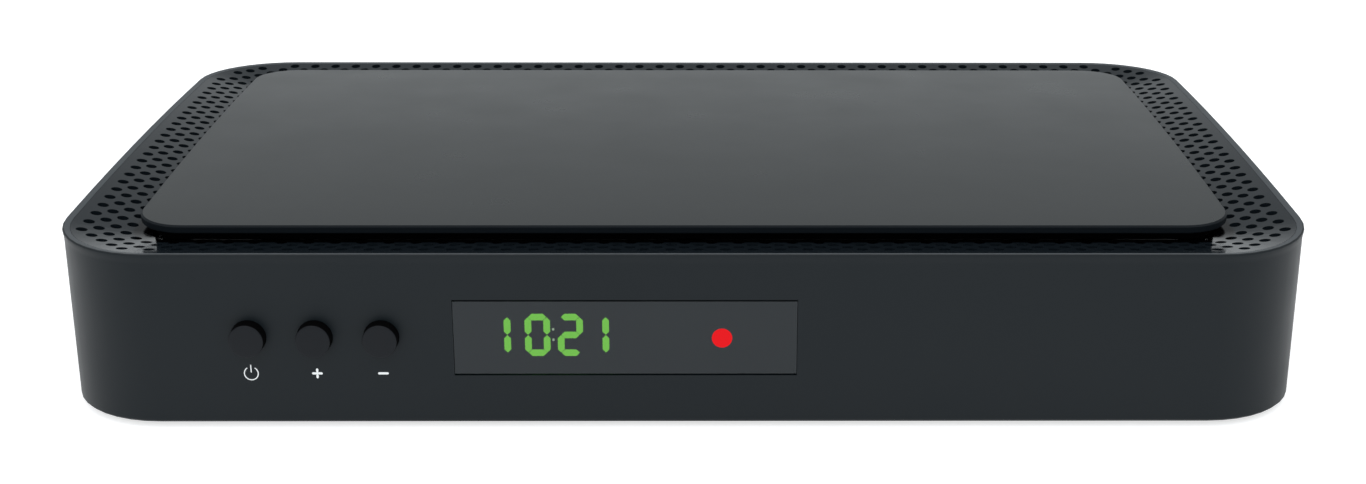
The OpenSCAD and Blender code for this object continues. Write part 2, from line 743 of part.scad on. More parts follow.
module connector_nuts() color(metal) at_aerials() translate([0, rear_y + washer_t, 0])
    difference() {
        rotate([-90, 0, 0]) cylinder(r = nut_r, h = nut_h, $fn = 6);
        translate([0, -1, 0]) rod_y(root_r + fit, nut_h + 2);
    }

// A socket's body: middle in x, width, height, depth, height of its underside over the board
module socket_box(x, w, h, d, lift = 0) box_at(x, socket_face - d, board_top + lift, w, d, h);
module cutout(x, w, h, lift = 0) box_at(x, rear_in - 2, board_top + lift - slip,
    w + 2 * slip, wall + 3, h + 2 * slip);

module optical_socket() color(black) difference() {
    socket_box(optical_x, optical_w, optical_w, optical_d);
    translate([0, 1, (optical_w - optical_port) / 2])
        socket_box(optical_x, optical_port, optical_port, 9);
}
module av_jack() color(black) translate([jack_x, 0, jack_z]) difference() {
    union() {
        translate([-jack_w / 2, rear_in - 12.3, board_top - jack_z]) cube([jack_w, 12, jack_h]);
        translate([0, rear_in - 1, 0]) rod_y(jack_barrel, socket_face - rear_in + 1);
    }
    translate([0, socket_face - jack_bore, 0]) rod_y(jack_r, jack_bore + 1);
}
// Outline of the picture socket, with its lower corners cut off
function hdmi_outline(e) = let (w = hdmi_w / 2 - e, h = hdmi_h - e, c = 1.8)
    [[-w + c, e], [w - c, e], [w, e + c], [w, h], [-w, h], [-w, e + c]];
module hdmi_part(e, y, d) translate([hdmi_x, y + d, board_top]) rotate([90, 0, 0])
    linear_extrude(d) polygon(hdmi_outline(e));
module hdmi_socket() color(metal) {
    difference() {
        hdmi_part(0, socket_face - 11, 11);
        hdmi_part(0.4, socket_face - 10, 11);
    }
    box_at(hdmi_x, socket_face - 10.5, board_top + 2.5, hdmi_w - 3.2, 9.5, 0.9);
}
module usb_socket() color(metal) {
    difference() {
        socket_box(usb_x, usb_w, usb_h, usb_d);
        translate([0, 1, 0.35]) socket_box(usb_x, usb_w - 0.7, usb_h - 0.7, usb_d - 1);
    }
    box_at(usb_x, socket_face - 12.5, board_top + usb_h - 2.5, usb_w - 2.1, 11.5, 1.8);
}
network_plug_w = 11.9;
network_plug_h = 8;
network_key_w = 6.2;
network_key_h = 1.6;
network_floor = 1.4;
network_plug_d = 12;
module network_socket() color(black) difference() {
    socket_box(network_x, network_w, network_h, network_plug_d + 4);
    translate([0, 1, network_floor + network_key_h])
        socket_box(network_x, network_plug_w, network_plug_h, network_plug_d + 1);
    translate([0, 1, network_floor])
        socket_box(network_x, network_key_w, network_key_h + 1, network_plug_d + 1);
}
module power_jack() color(black) {
    difference() {
        socket_box(power_x, power_w, power_h, power_d);
        translate([power_x, socket_face - power_bore, power_z]) rod_y(power_r, power_bore + 1);
    }
    translate([power_x, socket_face - 10.5, power_z]) rod_y(1, 9.5);
}
module socket_cutouts() {
    for (x = [lnb_x, loop_x]) at_aerial(x) translate([0, rear_in - 1, 0]) rod_y(root_r + 0.2, wall + 2);
    cutout(optical_x, optical_w, optical_w);
    translate([jack_x, rear_in - 1, jack_z]) rod_y(jack_barrel + slip, wall + 2);
    cutout(hdmi_x, hdmi_w, hdmi_h);
    cutout(usb_x, usb_w, usb_h);
    cutout(network_x, network_w, network_h);
    cutout(power_x, power_w, power_h);
}

// ---- On the main board ----

board_left = -board_w / 2;
board_right = board_w / 2;
chip_x = -6;
chip_y = -4;
chip_w = 23;
chip_t = 2;
pad_t = 0.5;
sink_w = 34;
sink_base = 2;
sink_h = 10;
fins = 9;
fin_t = 1.2;
memory_w = 13;
memory_d = 9;
memory_t = 1.1;
memory_gap = 11;
memory_x = chip_x + sink_w / 2 + memory_gap;
memory_y = 14;
// Capacitors: radius and height of the large, middle and small ones
large_cap = [4, 12];
middle_cap = [3.15, 9];
small_cap = [2.5, 7];
coil_w = 7;
coil_in = 18;
coil_base = 1.2;
coil_h = 3.6;
crystal_w = 3.5;
crystal_d = 7.6;
crystal_h = 3.4;
module on_board(x, y) translate([x, y, board_top]) children();
module main_chip() color(black) on_board(chip_x, chip_y)
    translate([-chip_w / 2, -chip_w / 2, 0]) cube([chip_w, chip_w, chip_t]);
module thermal_pad() color("#8fa7b8") on_board(chip_x, chip_y)
    translate([-chip_w / 2 + 1, -chip_w / 2 + 1, chip_t]) cube([chip_w - 2, chip_w - 2, pad_t]);
module heat_sink() color("#9da1a4") on_board(chip_x - sink_w / 2, chip_y - sink_w / 2)
    translate([0, 0, chip_t + pad_t]) {
        cube([sink_w, sink_w, sink_base]);
        for (i = [0:fins - 1]) translate([i * (sink_w - fin_t) / (fins - 1), 0, sink_base / 2])
            cube([fin_t, sink_w, sink_h - sink_base / 2]);
    }
module memory_chips() color(black) for (y = [-memory_y, memory_y - memory_gap]) on_board(memory_x, chip_y + y)
    cube([memory_w, memory_d, memory_t]);
cap_in = 24;
cap_row = 22;
cap_pitch = 12;
module capacitor(x, y, size) on_board(x, y) cylinder(r = size[0], h = size[1]);
module capacitors() color("#33424f") {
    for (i = [0, 1]) {
        capacitor(board_left + cap_in + i * cap_pitch, cap_row, large_cap);
        capacitor(board_left + cap_in + i * cap_pitch, cap_row - cap_pitch, middle_cap);
    }
    capacitor(board_right - cap_in, cap_pitch, large_cap);
    capacitor(memory_x + memory_w + small_cap[0] * 2, cap_row - small_cap[0], small_cap);
}
module inductors() color("#3c3c3e")
    for (x = [board_left + coil_in, board_left + coil_in + 2 * coil_w,
            memory_x + memory_w + memory_gap]) on_board(x, -coil_w) {
        translate([-coil_w / 2, -coil_w / 2, 0]) cube([coil_w, coil_w, coil_base]);
        cylinder(r = coil_w / 2 - 0.1, h = coil_h);
    }
module crystal() color(metal) on_board(chip_x - sink_w / 2 - 9, chip_y - 2) {
    translate([-crystal_w / 2, -crystal_d / 2, 0]) cube([crystal_w, crystal_d, crystal_h]);
    for (y = [-crystal_d / 2, crystal_d / 2]) translate([0, y, 0])
        cylinder(r = crystal_w / 2, h = crystal_h);
}

module placed() translate([0, case_y, 0]) children();

placed() outer_shell();
placed() vent_panel();
placed() top_plate();
placed() bottom_tray();
placed() rear_panel();
placed() feet();
placed() case_screws();
placed() panel_screws();
placed() display_window();
placed() display_module();
placed() display_segments();
placed() standby_lamp();
placed() infrared_receiver();
placed() power_button();
placed() channel_up_button();
placed() channel_down_button();
placed() power_plunger();
placed() channel_up_plunger();
placed() channel_down_plunger();
placed() button_switches();
placed() front_board();
placed() front_board_screws();
placed() ribbon_cable();
placed() ribbon_sockets();
placed() main_board();
placed() board_screws();
placed() tuner_can();
placed() lnb_connector();
placed() loop_connector();
placed() connector_cores();
placed() connector_washers();
placed() connector_nuts();
placed() optical_socket();
placed() av_jack();
placed() hdmi_socket();
placed() usb_socket();
placed() network_socket();
placed() power_jack();
placed() main_chip();
placed() thermal_pad();
placed() heat_sink();
placed() memory_chips();
placed() capacitors();
placed() inductors();
placed() crystal();
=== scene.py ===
# %% [markdown]
# # A flat set-top receiver
# The receiver is a shallow moulded box. A separate top plate floats over a dished band of
# round vent holes, three push buttons and a smoked display window sit in front, and the
# sockets stand in a panel at the back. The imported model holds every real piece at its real
# size, so this script only gives those pieces their finish, and models anew the few whose
# small forms need more care than a plain solid has: caps, threads, contacts and prints.

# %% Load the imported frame
import json
import math

import bmesh
import bpy
from mathutils import Matrix, Vector


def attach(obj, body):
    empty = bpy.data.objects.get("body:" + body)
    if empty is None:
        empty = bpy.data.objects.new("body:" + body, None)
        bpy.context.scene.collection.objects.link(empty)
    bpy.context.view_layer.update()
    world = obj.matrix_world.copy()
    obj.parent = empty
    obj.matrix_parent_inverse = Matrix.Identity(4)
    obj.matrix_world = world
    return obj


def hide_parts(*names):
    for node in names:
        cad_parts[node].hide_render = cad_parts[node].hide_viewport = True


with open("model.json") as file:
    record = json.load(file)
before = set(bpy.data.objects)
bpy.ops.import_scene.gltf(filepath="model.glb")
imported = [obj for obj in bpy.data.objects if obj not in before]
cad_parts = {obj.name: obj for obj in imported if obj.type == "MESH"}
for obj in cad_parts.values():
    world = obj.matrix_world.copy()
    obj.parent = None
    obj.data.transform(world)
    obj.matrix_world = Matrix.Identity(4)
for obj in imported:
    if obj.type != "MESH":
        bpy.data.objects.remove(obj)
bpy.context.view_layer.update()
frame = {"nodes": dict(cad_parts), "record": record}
nodes = frame["nodes"]
MM = 0.001

# %% [markdown]
# ## The camera
# A product is usually shown from a little above, with a long lens, so that its sides stay
# nearly parallel. Blender's camera looks along its own -Z, so it is first tipped up by a
# right angle less the downward tilt, and then turned about the vertical. The lens comes
# from a focal length in pixels of the finished picture. The subject sits a little left of
# the lens axis, which is what the small shift does.

# %% Camera
IMAGE_W = 1366
FOCAL_PIXELS = 1962.4
AXIS_PIXEL_X = 722
SENSOR = 36.0
NEAREST = 0.01
CAMERA_AT = Vector((0.003652, -0.38587, 0.14435))
PAN, TILT, ROLL = (math.radians(a) for a in (0.508, 19.244, 0.169))

scene = bpy.context.scene
optics = bpy.data.cameras.new("camera")
optics.sensor_width = SENSOR
optics.lens = SENSOR * FOCAL_PIXELS / IMAGE_W
optics.shift_x = 0.5 - AXIS_PIXEL_X / IMAGE_W
optics.clip_start = NEAREST
camera = bpy.data.objects.new("camera", optics)
scene.collection.objects.link(camera)
facing = Matrix.Rotation(-PAN, 4, "Z") @ Matrix.Rotation(math.pi / 2 - TILT, 4, "X")
camera.matrix_world = Matrix.Translation(CAMERA_AT) @ facing @ Matrix.Rotation(ROLL, 4, "Z")
scene.camera = camera
print("lens", round(optics.lens, 2), "mm, shift", round(optics.shift_x, 4))

# %% [markdown]
# ## Shader helpers
# Colours are picked as sRGB hex values, but shaders work in linear light, so one function
# turns the one into the other. A second function adds a node to a tree with its settings
# and its links, which keeps each material down to the few lines that matter.

# %% Colours, nodes and materials
def paint(hex_colour):
    """An sRGB hex colour as linear red, green, blue and full alpha."""
    parts = [int(hex_colour[i:i + 2], 16) / 255 for i in (1, 3, 5)]
    return [c / 12.92 if c <= 0.04045 else ((c + 0.055) / 1.055) ** 2.4 for c in parts] + [1]


def add(tree, kind, inputs=None, **settings):
    """Add a node: settings are its own properties, inputs are values or other outputs."""
    made = tree.nodes.new("ShaderNode" + kind)
    for name, value in settings.items():
        setattr(made, name, value)
    for socket, value in (inputs or {}).items():
        if isinstance(value, bpy.types.NodeSocket):
            tree.links.new(value, made.inputs[socket])
        else:
            made.inputs[socket].default_value = value
    return made


def material(name, colour, **sockets):
    """A new material: one Principled shader with this colour and these sockets."""
    made = bpy.data.materials.new(name)
    made.use_nodes = True
    made.diffuse_color = paint(colour)
    shader = made.node_tree.nodes["Principled BSDF"]
    shader.inputs["Base Color"].default_value = paint(colour)
    for socket, value in sockets.items():
        shader.inputs[socket.replace("_", " ")].default_value = value
    return made


print("the casing's grey in linear light:", [round(c, 4) for c in paint("#0a1317")])

# %% [markdown]
# A real surface is never quite even. Fine noise gives it relief, broad noise lets its
# roughness drift a little, and where the material varies, one of the two also mixes its
# colour between two tones. Every piece sits at the origin with its place in its mesh, so
# Object coordinates are plain metres, and a pattern's scale is one metre divided by the
# size of its grain. Real mould grain is under a tenth of a millimetre, too fine to show,
# so every grain below is drawn a few times coarser than it is. The four numbers given to
# the function are the grain and its depth in millimetres, and the two ends of the roughness.

# %% Surface grain
BROAD_MM = 18
FINE_DETAIL = 3.0
BROAD_DETAIL = 4.0
FINE_BLEND = 0.6
RELIEF = 0.6
NOISE_LOW, NOISE_HIGH = 0.3, 0.7


def per_metre(grain_mm):
    """The texture scale at which one grain is that many millimetres."""
    return 1 / (grain_mm * MM)


def textured(made, grain_mm, depth_mm, smooth, rough, tones=None, tone_by="broad",
             stretch=(1, 1, 1)):
    """Relief of that grain and depth, and a roughness that drifts from smooth to rough.
    Two tones mix the colour by the fine noise, the broad noise or another node's output."""
    tree = made.node_tree
    shader = tree.nodes["Principled BSDF"]
    place = add(tree, "Mapping", {"Vector": add(tree, "TexCoord").outputs["Object"],
                                  "Scale": stretch}).outputs["Vector"]
    fine = add(tree, "TexNoise", {"Vector": place, "Scale": per_metre(grain_mm),
                                  "Detail": FINE_DETAIL, "Roughness": FINE_BLEND}).outputs["Fac"]
    broad = add(tree, "TexNoise", {"Vector": place, "Scale": per_metre(BROAD_MM),
                                   "Detail": BROAD_DETAIL}).outputs["Fac"]
    relief = add(tree, "Bump", {"Height": fine, "Strength": RELIEF, "Distance": depth_mm * MM})
    tree.links.new(relief.outputs["Normal"], shader.inputs["Normal"])
    drift = add(tree, "MapRange", {"Value": broad, "From Min": NOISE_LOW, "From Max": NOISE_HIGH,
                                   "To Min": smooth, "To Max": rough})
    tree.links.new(drift.outputs["Result"], shader.inputs["Roughness"])
    if tones:
        factor = fine if tone_by == "fine" else broad if tone_by == "broad" else tone_by
        mixed = add(tree, "Mix", {"Factor": factor, "A": paint(tones[0]), "B": paint(tones[1])},
                    data_type="RGBA")
        tree.links.new(mixed.outputs["Result"], shader.inputs["Base Color"])


print("a grain of 0.35 mm has the scale", round(per_metre(0.35)))

# %% [markdown]
# ## Surroundings, light and floor
# Dark plastic shows its surroundings more than its own colour. They are bright at the
# horizon and darker higher up, like a white sweep under a grey ceiling: the dished band
# catches the bright part where it turns away from the eye, and the plate's sheen fades
# towards the front. The Standard view shows each colour as it is, with no film curve.

# %% Surroundings
# Both greys are given in linear light.
HORIZON = (0.80, 0.84, 0.86, 1)
CEILING = (0.335, 0.355, 0.365, 1)
CEILING_FROM = 0.42

world = bpy.data.worlds.new("studio")
scene.world = world
world.use_nodes = True
around = world.node_tree
upward = add(around, "SeparateXYZ", {"Vector": add(around, "TexCoord").outputs["Generated"]})
climb = add(around, "MapRange", {"Value": upward.outputs["Z"], "From Max": CEILING_FROM})
sweep = add(around, "Mix", {"Factor": climb.outputs["Result"], "A": HORIZON, "B": CEILING},
            data_type="RGBA")
around.links.new(sweep.outputs["Result"], around.nodes["Background"].inputs["Color"])
scene.view_settings.view_transform = "Standard"
print("the ceiling starts", round(math.degrees(math.asin(CEILING_FROM))), "degrees up")

# %% [markdown]
# A wide soft light overhead gives the top its sheen and brings the floor to white. A weak
# one in front lifts the walls. The floor is an opal sheet lit from below, as product
# tables are, so it stays white right up to the feet.

# %% Lights and floor
FLOOR_SIZE = 6.0
FLOOR_GLOW = 0.7


def softbox(name, at, aim, size, power):
    """A square area light that points at a place."""
    lamp = bpy.data.lights.new(name, "AREA")
    lamp.size = size
    lamp.energy = power
    held = bpy.data.objects.new(name, lamp)
    facing = (Vector(aim) - Vector(at)).to_track_quat("-Z", "Y").to_matrix().to_4x4()
    held.matrix_world = Matrix.Translation(at) @ facing
    scene.collection.objects.link(held)


softbox("overhead_softbox", at=(0, -0.1, 1.5), aim=(0, 0, 0), size=4.0, power=50)
softbox("front_softbox", at=(-0.3, -1.6, 1.1), aim=(0, 0, 0.02), size=1.0, power=4)

floor_bm = bmesh.new()
bmesh.ops.create_grid(floor_bm, x_segments=1, y_segments=1, size=FLOOR_SIZE / 2)
floor_mesh = bpy.data.meshes.new("floor")
floor_bm.to_mesh(floor_mesh)
floor_bm.free()
floor = bpy.data.objects.new("floor", floor_mesh)
scene.collection.objects.link(floor)
# Opal acrylic scatters light inside, so it glows and shows only a faint contact shadow.
opal = material("opal_acrylic_table", "#c4c6c8", Emission_Color=paint("#ffffff"),
                Emission_Strength=FLOOR_GLOW)
textured(opal, 1.5, 0.02, 0.8, 0.9)
floor_mesh.materials.append(opal)
print("floor", FLOOR_SIZE, "m across, two lights")

# %% [markdown]
# ## Finishes
# Almost everything on the outside is moulded ABS, which refracts at about 1.54. Where the
# steel mould is spark-eroded, the plastic takes up a fine grain that breaks up the surface
# and reads as a weaker reflection, so the specular level is brought down with it. Where
# the mould is polished or the plastic is rubbed smooth, the reflection stays.

# %% Moulded ABS of walls, rim and buttons
ABS_IOR = 1.54

# Eroded grain scatters the light: an even dark grey, a little blue, with no clear reflection.
casing_abs = material("moulded_ABS_dark_grey", "#0a1317", IOR=ABS_IOR, Specular_IOR_Level=0.2)
textured(casing_abs, 0.35, 0.01, 0.43, 0.5, ("#081116", "#0b1419"))

# The narrow land on the rim is a lighter grey, a painted highlight, and a little smoother: it
# draws a thin pale line of light round the case.
rim_highlight_abs = material("ABS_rim_painted_highlight", "#30363b", IOR=ABS_IOR, Specular_IOR_Level=0.4)
textured(rim_highlight_abs, 0.25, 0.004, 0.36, 0.44)

# The caps are grained like the walls, so each face reads as a soft dark disc.
cap_abs = material("moulded_ABS_button", "#0d1116", IOR=ABS_IOR, Specular_IOR_Level=0.16)
textured(cap_abs, 0.3, 0.006, 0.42, 0.5)

# A cap's side is painted nearly black, painted shade as if it stood in the shade of its hole,
# which sets the face off.
skirt_shade_abs = material("button_skirt_painted_shade", "#020203", IOR=ABS_IOR, Specular_IOR_Level=0.05)
textured(skirt_shade_abs, 0.3, 0.01, 0.75, 0.85)
print("four grades of moulded ABS")

# %% Satin plate and its dark sides
# The plate's mould is finely polished: a satin sheen that carries the ceiling's light.
plate_abs = material("satin_ABS_plate", "#14191a", IOR=ABS_IOR, Specular_IOR_Level=0.4)
textured(plate_abs, 0.25, 0.003, 0.27, 0.32, ("#131819", "#161b1c"))

# Its chamfered edge takes a darker, duller copy of the plate's plastic, painted shade that frames
# the sheet with a darker line.
plate_side_shade_abs = material("plate_side_painted_shade", "#0f151a", IOR=ABS_IOR, Specular_IOR_Level=0.09)
textured(plate_side_shade_abs, 0.25, 0.004, 0.46, 0.54)

# The plate's underside and pillars and the baffle below take a nearly black painted shade, so the
# gap below it reads as plain shadow.
painted_shade_black = material("painted_shade_under_plate", "#020203", IOR=1.5, Specular_IOR_Level=0.05)
textured(painted_shade_black, 0.3, 0.01, 0.85, 0.95)
print("plate, plate side and black paint")

# %% [markdown]
# The vent band is polished, and turns black where it runs in under the plate: painted shade,
# nearly black, mixed into its colour. The change follows the rounded outline of the case, so the
# shader measures how far inside that outline each place lies: absolute values fold the four
# quarters into one, the corner's centre is taken off, what is below zero is cut away, and the
# length of the rest is the distance from the corner's centre.

# %% Polished ABS of the vent band
MID_Y = -3.8
HALF_W = 110.2
HALF_D = 67.3
CASE_R = 18.3
CORE_X = HALF_W - CASE_R
CORE_Y = HALF_D - CASE_R
PAINTED_SHADE_FROM = 11.4
PAINTED_SHADE_FADE = 0.6

# Polished plastic: small clear reflections between the holes, brightest at the corners.
band_abs = material("polished_ABS_vent_band_painted_shade", "#0d1216", IOR=ABS_IOR, Specular_IOR_Level=0.25)
tree = band_abs.node_tree
centred = add(tree, "Mapping", {"Vector": add(tree, "TexCoord").outputs["Object"],
                                "Location": (0, -MID_Y * MM, 0), "Scale": (1, 1, 0)})
folded = add(tree, "VectorMath", {0: centred.outputs["Vector"]}, operation="ABSOLUTE")
beyond = add(tree, "VectorMath", {0: folded.outputs["Vector"], 1: (CORE_X * MM, CORE_Y * MM, 0)},
             operation="SUBTRACT")
beyond = add(tree, "VectorMath", {0: beyond.outputs["Vector"], 1: (0, 0, 0)}, operation="MAXIMUM")
away = add(tree, "VectorMath", {0: beyond.outputs["Vector"]}, operation="LENGTH")
# How much painted shade a place takes: none outside the line, all of it a little further in.
under = add(tree, "MapRange", {"Value": away.outputs["Value"],
                               "From Min": (CASE_R - PAINTED_SHADE_FROM) * MM,
                               "From Max": (CASE_R - PAINTED_SHADE_FROM - PAINTED_SHADE_FADE) * MM})
# The second tone, nearly black, is the painted shade under the plate.
textured(band_abs, 0.35, 0.002, 0.09, 0.13, ("#151b20", "#010102"), under.outputs["Result"])
print("the band is black from", PAINTED_SHADE_FROM, "mm inside the outline")

# %% [markdown]
# The display is read through a sheet of acrylic with a smoked film on its front face. The
# film lets only a little light through, so the dark parts behind it vanish, while the lit
# bars, which are far brighter than the room, still show in full colour. Only the film
# carries the smoke: two see-through faces behind each other would grow noisy from the side.

# %% Smoked window
SMOKE = 0.932
ACRYLIC_IOR = 1.49

# A satin film over gloss: a flat dark grey pane, a little lighter than the wall round it.
smoked = material("smoked_film_on_acrylic", "#2a2e31", IOR=ACRYLIC_IOR, Alpha=SMOKE,
                  Specular_IOR_Level=0.2)
textured(smoked, 0.4, 0.0004, 0.3, 0.34)

# Cast acrylic is as clear as glass: behind the film it can hardly be seen.
clear = material("clear_acrylic_sheet", "#d8dcde", Roughness=0.05, IOR=ACRYLIC_IOR, Alpha=0.02,
                 Specular_IOR_Level=0.2)

# The display's black resin drinks the light, so its unlit parts vanish behind the film.
filter_black = material("matt_black_filter_resin", "#050506", IOR=1.55, Specular_IOR_Level=0.05)
textured(filter_black, 0.4, 0.005, 0.85, 0.95)
print("the film lets", round(100 * (1 - SMOKE), 1), "per cent through")

# %% [markdown]
# Lit parts are plain emission. Their strength is set for what is left of it in front: the
# bars shine through the film, while the lamp's disc lies on the sheet's face.

# %% Lit bars and lamp
# Green light from a display: even bars with no shading of their own.
lit_green = material("lit_green_segment", "#101a0c", Roughness=0.4,
                     Emission_Color=paint("#93ff4e"), Emission_Strength=6.8)

# The colon's two points glow paler and weaker than the bars.
lit_pale = material("lit_pale_point", "#101a0c", Roughness=0.4,
                    Emission_Color=paint("#e1ffda"), Emission_Strength=4.5)

# A red lens lit from behind: one flat round dot of pure colour, with no glint on it.
lit_red = material("lit_red_lens", "#040001", Roughness=0.5, Specular_IOR_Level=0.0,
                   Emission_Color=paint("#ff242a"), Emission_Strength=0.81)
print("three lit materials")

# %% [markdown]
# Behind and below stand other plastics. Each is set by how it was made: rubber is dull
# with a coarse skin, glass-filled nylon shows its fibres as mottling, and the insulators
# of the aerial sockets are a smooth cream white.

# %% Rubber, ink, nylon and insulators
# Rubber scatters nearly all light: soft black feet without a highlight.
foot_rubber = material("moulded_rubber", "#161616", IOR=1.52, Specular_IOR_Level=0.3)
textured(foot_rubber, 0.5, 0.03, 0.8, 0.92, ("#121212", "#1d1d1c"), "fine")

# Pad-printed ink lies thin and even: clean white signs with a slight tooth.
print_white = material("pad_printed_white_ink", "#e6e9ea")
textured(print_white, 0.15, 0.002, 0.5, 0.6)

# Glass fibres rise to the surface: a mottled black, here dull and there a little shiny.
nylon_black = material("glass_filled_nylon_black", "#101112", IOR=1.53)
textured(nylon_black, 0.3, 0.015, 0.42, 0.6, ("#0d0e0f", "#16171a"), "fine")

# A dense white plastic: warm and milky beside the metal round it.
moulded_white = material("moulded_white_insulator", "#e3e0d6", IOR=1.5)
textured(moulded_white, 0.4, 0.01, 0.4, 0.52, ("#dedace", "#e8e5dc"))
print("rubber, ink, nylon and insulators")

# %% [markdown]
# Metals keep the default IOR, and get their look from a full metallic value, a real colour
# and their grain. Rolling and extruding draw the grain out one way, so its pattern is
# stretched: a scale under one makes it longer along that axis, over one makes it shorter.

# %% Metals
# Nickel is a warm white metal: bright, with fine marks round each turned part.
nickel = material("nickel_plated_brass", "#c4c1b8", Metallic=1.0)
textured(nickel, 0.4, 0.004, 0.2, 0.34, ("#bdbab0", "#cbc9c2"), stretch=(1, 4, 1))

# Tinplate keeps the lines of the rolling mill along its length.
tinplate = material("rolled_tinplate", "#b9bcbe", Metallic=1.0)
textured(tinplate, 0.6, 0.004, 0.28, 0.42, ("#aeb1b3", "#c3c6c8"), "fine", (0.2, 1, 1))

# Zinc plating is greyer and cloudier than nickel.
zinc = material("zinc_plated_steel", "#a9adb0", Metallic=1.0)
textured(zinc, 0.5, 0.01, 0.28, 0.45, ("#9fa4a8", "#b4b8ba"))

# Blackened steel keeps a metal's sheen, but hardly any of its light. On the panel screws under
# the plate it also serves as painted shade, so their heads vanish in the gap.
black_steel = material("blackened_steel", "#0a0a0b", Metallic=1.0)
textured(black_steel, 0.5, 0.01, 0.55, 0.7)

# A flash of gold: small warm glints on the contacts.
gold = material("gold_flashed_contact", "#d6a648", Metallic=1.0)
textured(gold, 0.3, 0.002, 0.2, 0.32)

# Extruding draws the die's marks out into long streaks, which split the light.
aluminium = material("extruded_aluminium", "#a6a9ab", Metallic=1.0)
textured(aluminium, 0.4, 0.006, 0.34, 0.5, stretch=(1, 0.05, 1))
print("six metals")

# %% [markdown]
# Inside, the boards are glass cloth under green mask, whose weave shows as a faint
# diagonal, and the ribbon is clear film over flat copper tracks. A wave texture along one
# axis packs about three bands into each grain, so a grain of 6.28 mm sets the tracks about
# 2 mm apart.

# %% Boards, ribbon, pad and sleeves
WEAVE_MM = 4
TRACK_MM = 6.28

# Mask over woven glass: a glossy mid green with a slight crossing of darker threads.
mask_green = material("solder_mask_on_laminate", "#1d5a3a", IOR=1.55)
tree = mask_green.node_tree
weave = add(tree, "TexWave", {"Vector": add(tree, "TexCoord").outputs["Object"],
                              "Scale": per_metre(WEAVE_MM), "Distortion": 2.0, "Detail": 1.0},
            bands_direction="DIAGONAL")
textured(mask_green, 0.6, 0.01, 0.3, 0.42, ("#195235", "#226541"), weave.outputs["Fac"])

# Film over tracks: pale stripes of plastic between bright stripes of metal.
film = material("polyester_ribbon_film", "#cfd3d6", IOR=1.57)
tree = film.node_tree
tracks = add(tree, "TexWave", {"Vector": add(tree, "TexCoord").outputs["Object"],
                               "Scale": per_metre(TRACK_MM)},
             bands_direction="X", wave_profile="SIN")
textured(film, 0.5, 0.003, 0.25, 0.35, ("#8f9498", "#dde0e2"), tracks.outputs["Fac"])

# A filled silicone pad: chalky grey-blue and quite dull.
silicone = material("thermal_silicone", "#8296a6", IOR=1.41)
textured(silicone, 0.4, 0.02, 0.75, 0.88)

# A shrunk sleeve is tight and glossy: a dark blue can with a clear highlight.
sleeve_blue = material("shrunk_sleeve_on_capacitor", "#26323d", IOR=1.53)
textured(sleeve_blue, 0.8, 0.01, 0.22, 0.34)
print("four materials inside")

# %% [markdown]
# ## Making pieces
# New pieces are built with bmesh in millimetres, in the model's own frame, and shrunk to
# metres as they are finished, so every object stays at the origin. A piece that stands for a
# packed one rides on the same body, and hides it.
# Edges sharper than a soft turn are kept crisp, and a modifier that weighs normals by area
# keeps the flat faces beside a small rounding truly flat.

# %% Finishing a piece
SLOTS = {row["node"]: row["material_slot"] for row in frame["record"]["subparts"]}
BODY_OF = {name: body for body, members in frame["record"]["behaviour"]["bodies"].items()
           for name in members}
CASE_BODY = "receiver"


def finish_piece(bm, name, coats, body=CASE_BODY, sharp=30, stands_for=()):
    """Turn a bmesh in mm into a smooth piece that rides on a body."""
    bmesh.ops.scale(bm, vec=(MM, MM, MM), verts=bm.verts)
    bm.normal_update()
    for face in bm.faces:
        face.smooth = True
    for edge in bm.edges:
        edge.smooth = len(edge.link_faces) == 2 and edge.calc_face_angle(0) < math.radians(sharp)
    mesh = bpy.data.meshes.new(name)
    bm.to_mesh(mesh)
    bm.free()
    for coat in coats:
        mesh.materials.append(coat)
    piece = bpy.data.objects.new(name, mesh)
    scene.collection.objects.link(piece)
    even = piece.modifiers.new("even_normals", "WEIGHTED_NORMAL")
    even.keep_sharp = True
    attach(piece, body)
    if stands_for:
        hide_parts(*stands_for)
    return piece


def stand_in(bm, name, coats, node, sharp=30):
    """A finished piece that stands for a packed one."""
    return finish_piece(bm, name, coats, BODY_OF[node], sharp, (node,))


# %% [markdown]
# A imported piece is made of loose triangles. Where it is curved and in plain view, a copy is
# merged into one skin, so that light runs smoothly round its corners. The same copy may
# carry more than one coat: a small function tells a face's coat from the face's middle.

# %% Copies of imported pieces
WELD = 0.002


def reach(node):
    """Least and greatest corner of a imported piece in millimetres."""
    points = [v.co / MM for v in nodes[node].data.vertices]
    return (Vector([min(p[i] for p in points) for i in range(3)]),
            Vector([max(p[i] for p in points) for i in range(3)]))


def smooth_copy(node, name, coats, coat_of=None):
    """A merged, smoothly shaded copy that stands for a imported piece."""
    bm = bmesh.new()
    bm.from_mesh(nodes[node].data)
    bmesh.ops.scale(bm, vec=(1 / MM, 1 / MM, 1 / MM), verts=bm.verts)
    bmesh.ops.remove_doubles(bm, verts=bm.verts, dist=WELD)
    for face in bm.faces:
        face.material_index = coat_of(face.calc_center_median()) if coat_of else 0
    piece = stand_in(bm, name, coats, node)
    print(name, len(piece.data.polygons), "faces")


print("points closer than", WELD, "mm are merged")

# %% [markdown]
# ## Casing, vent band and plate
# The shell is one moulding. The narrow land on top of its rim carries a painted highlight, so
# faces near the crown's height take the second coat. The vent band is left whole. The plate is
# satin on top, with painted shade on its chamfered side, a darker and duller coat, and nearly
# black painted shade beneath, and a face's drop below the rim's crown says which of the three it
# is.

# %% Casing, vent band and plate
RIM_TOP = 32.2
CROWN_RISE = 1.4
LAND_IN = 0.3
LAND_DROP = 0.4
SIDE_DROP = -0.65
UNDER_DROP = 0.8


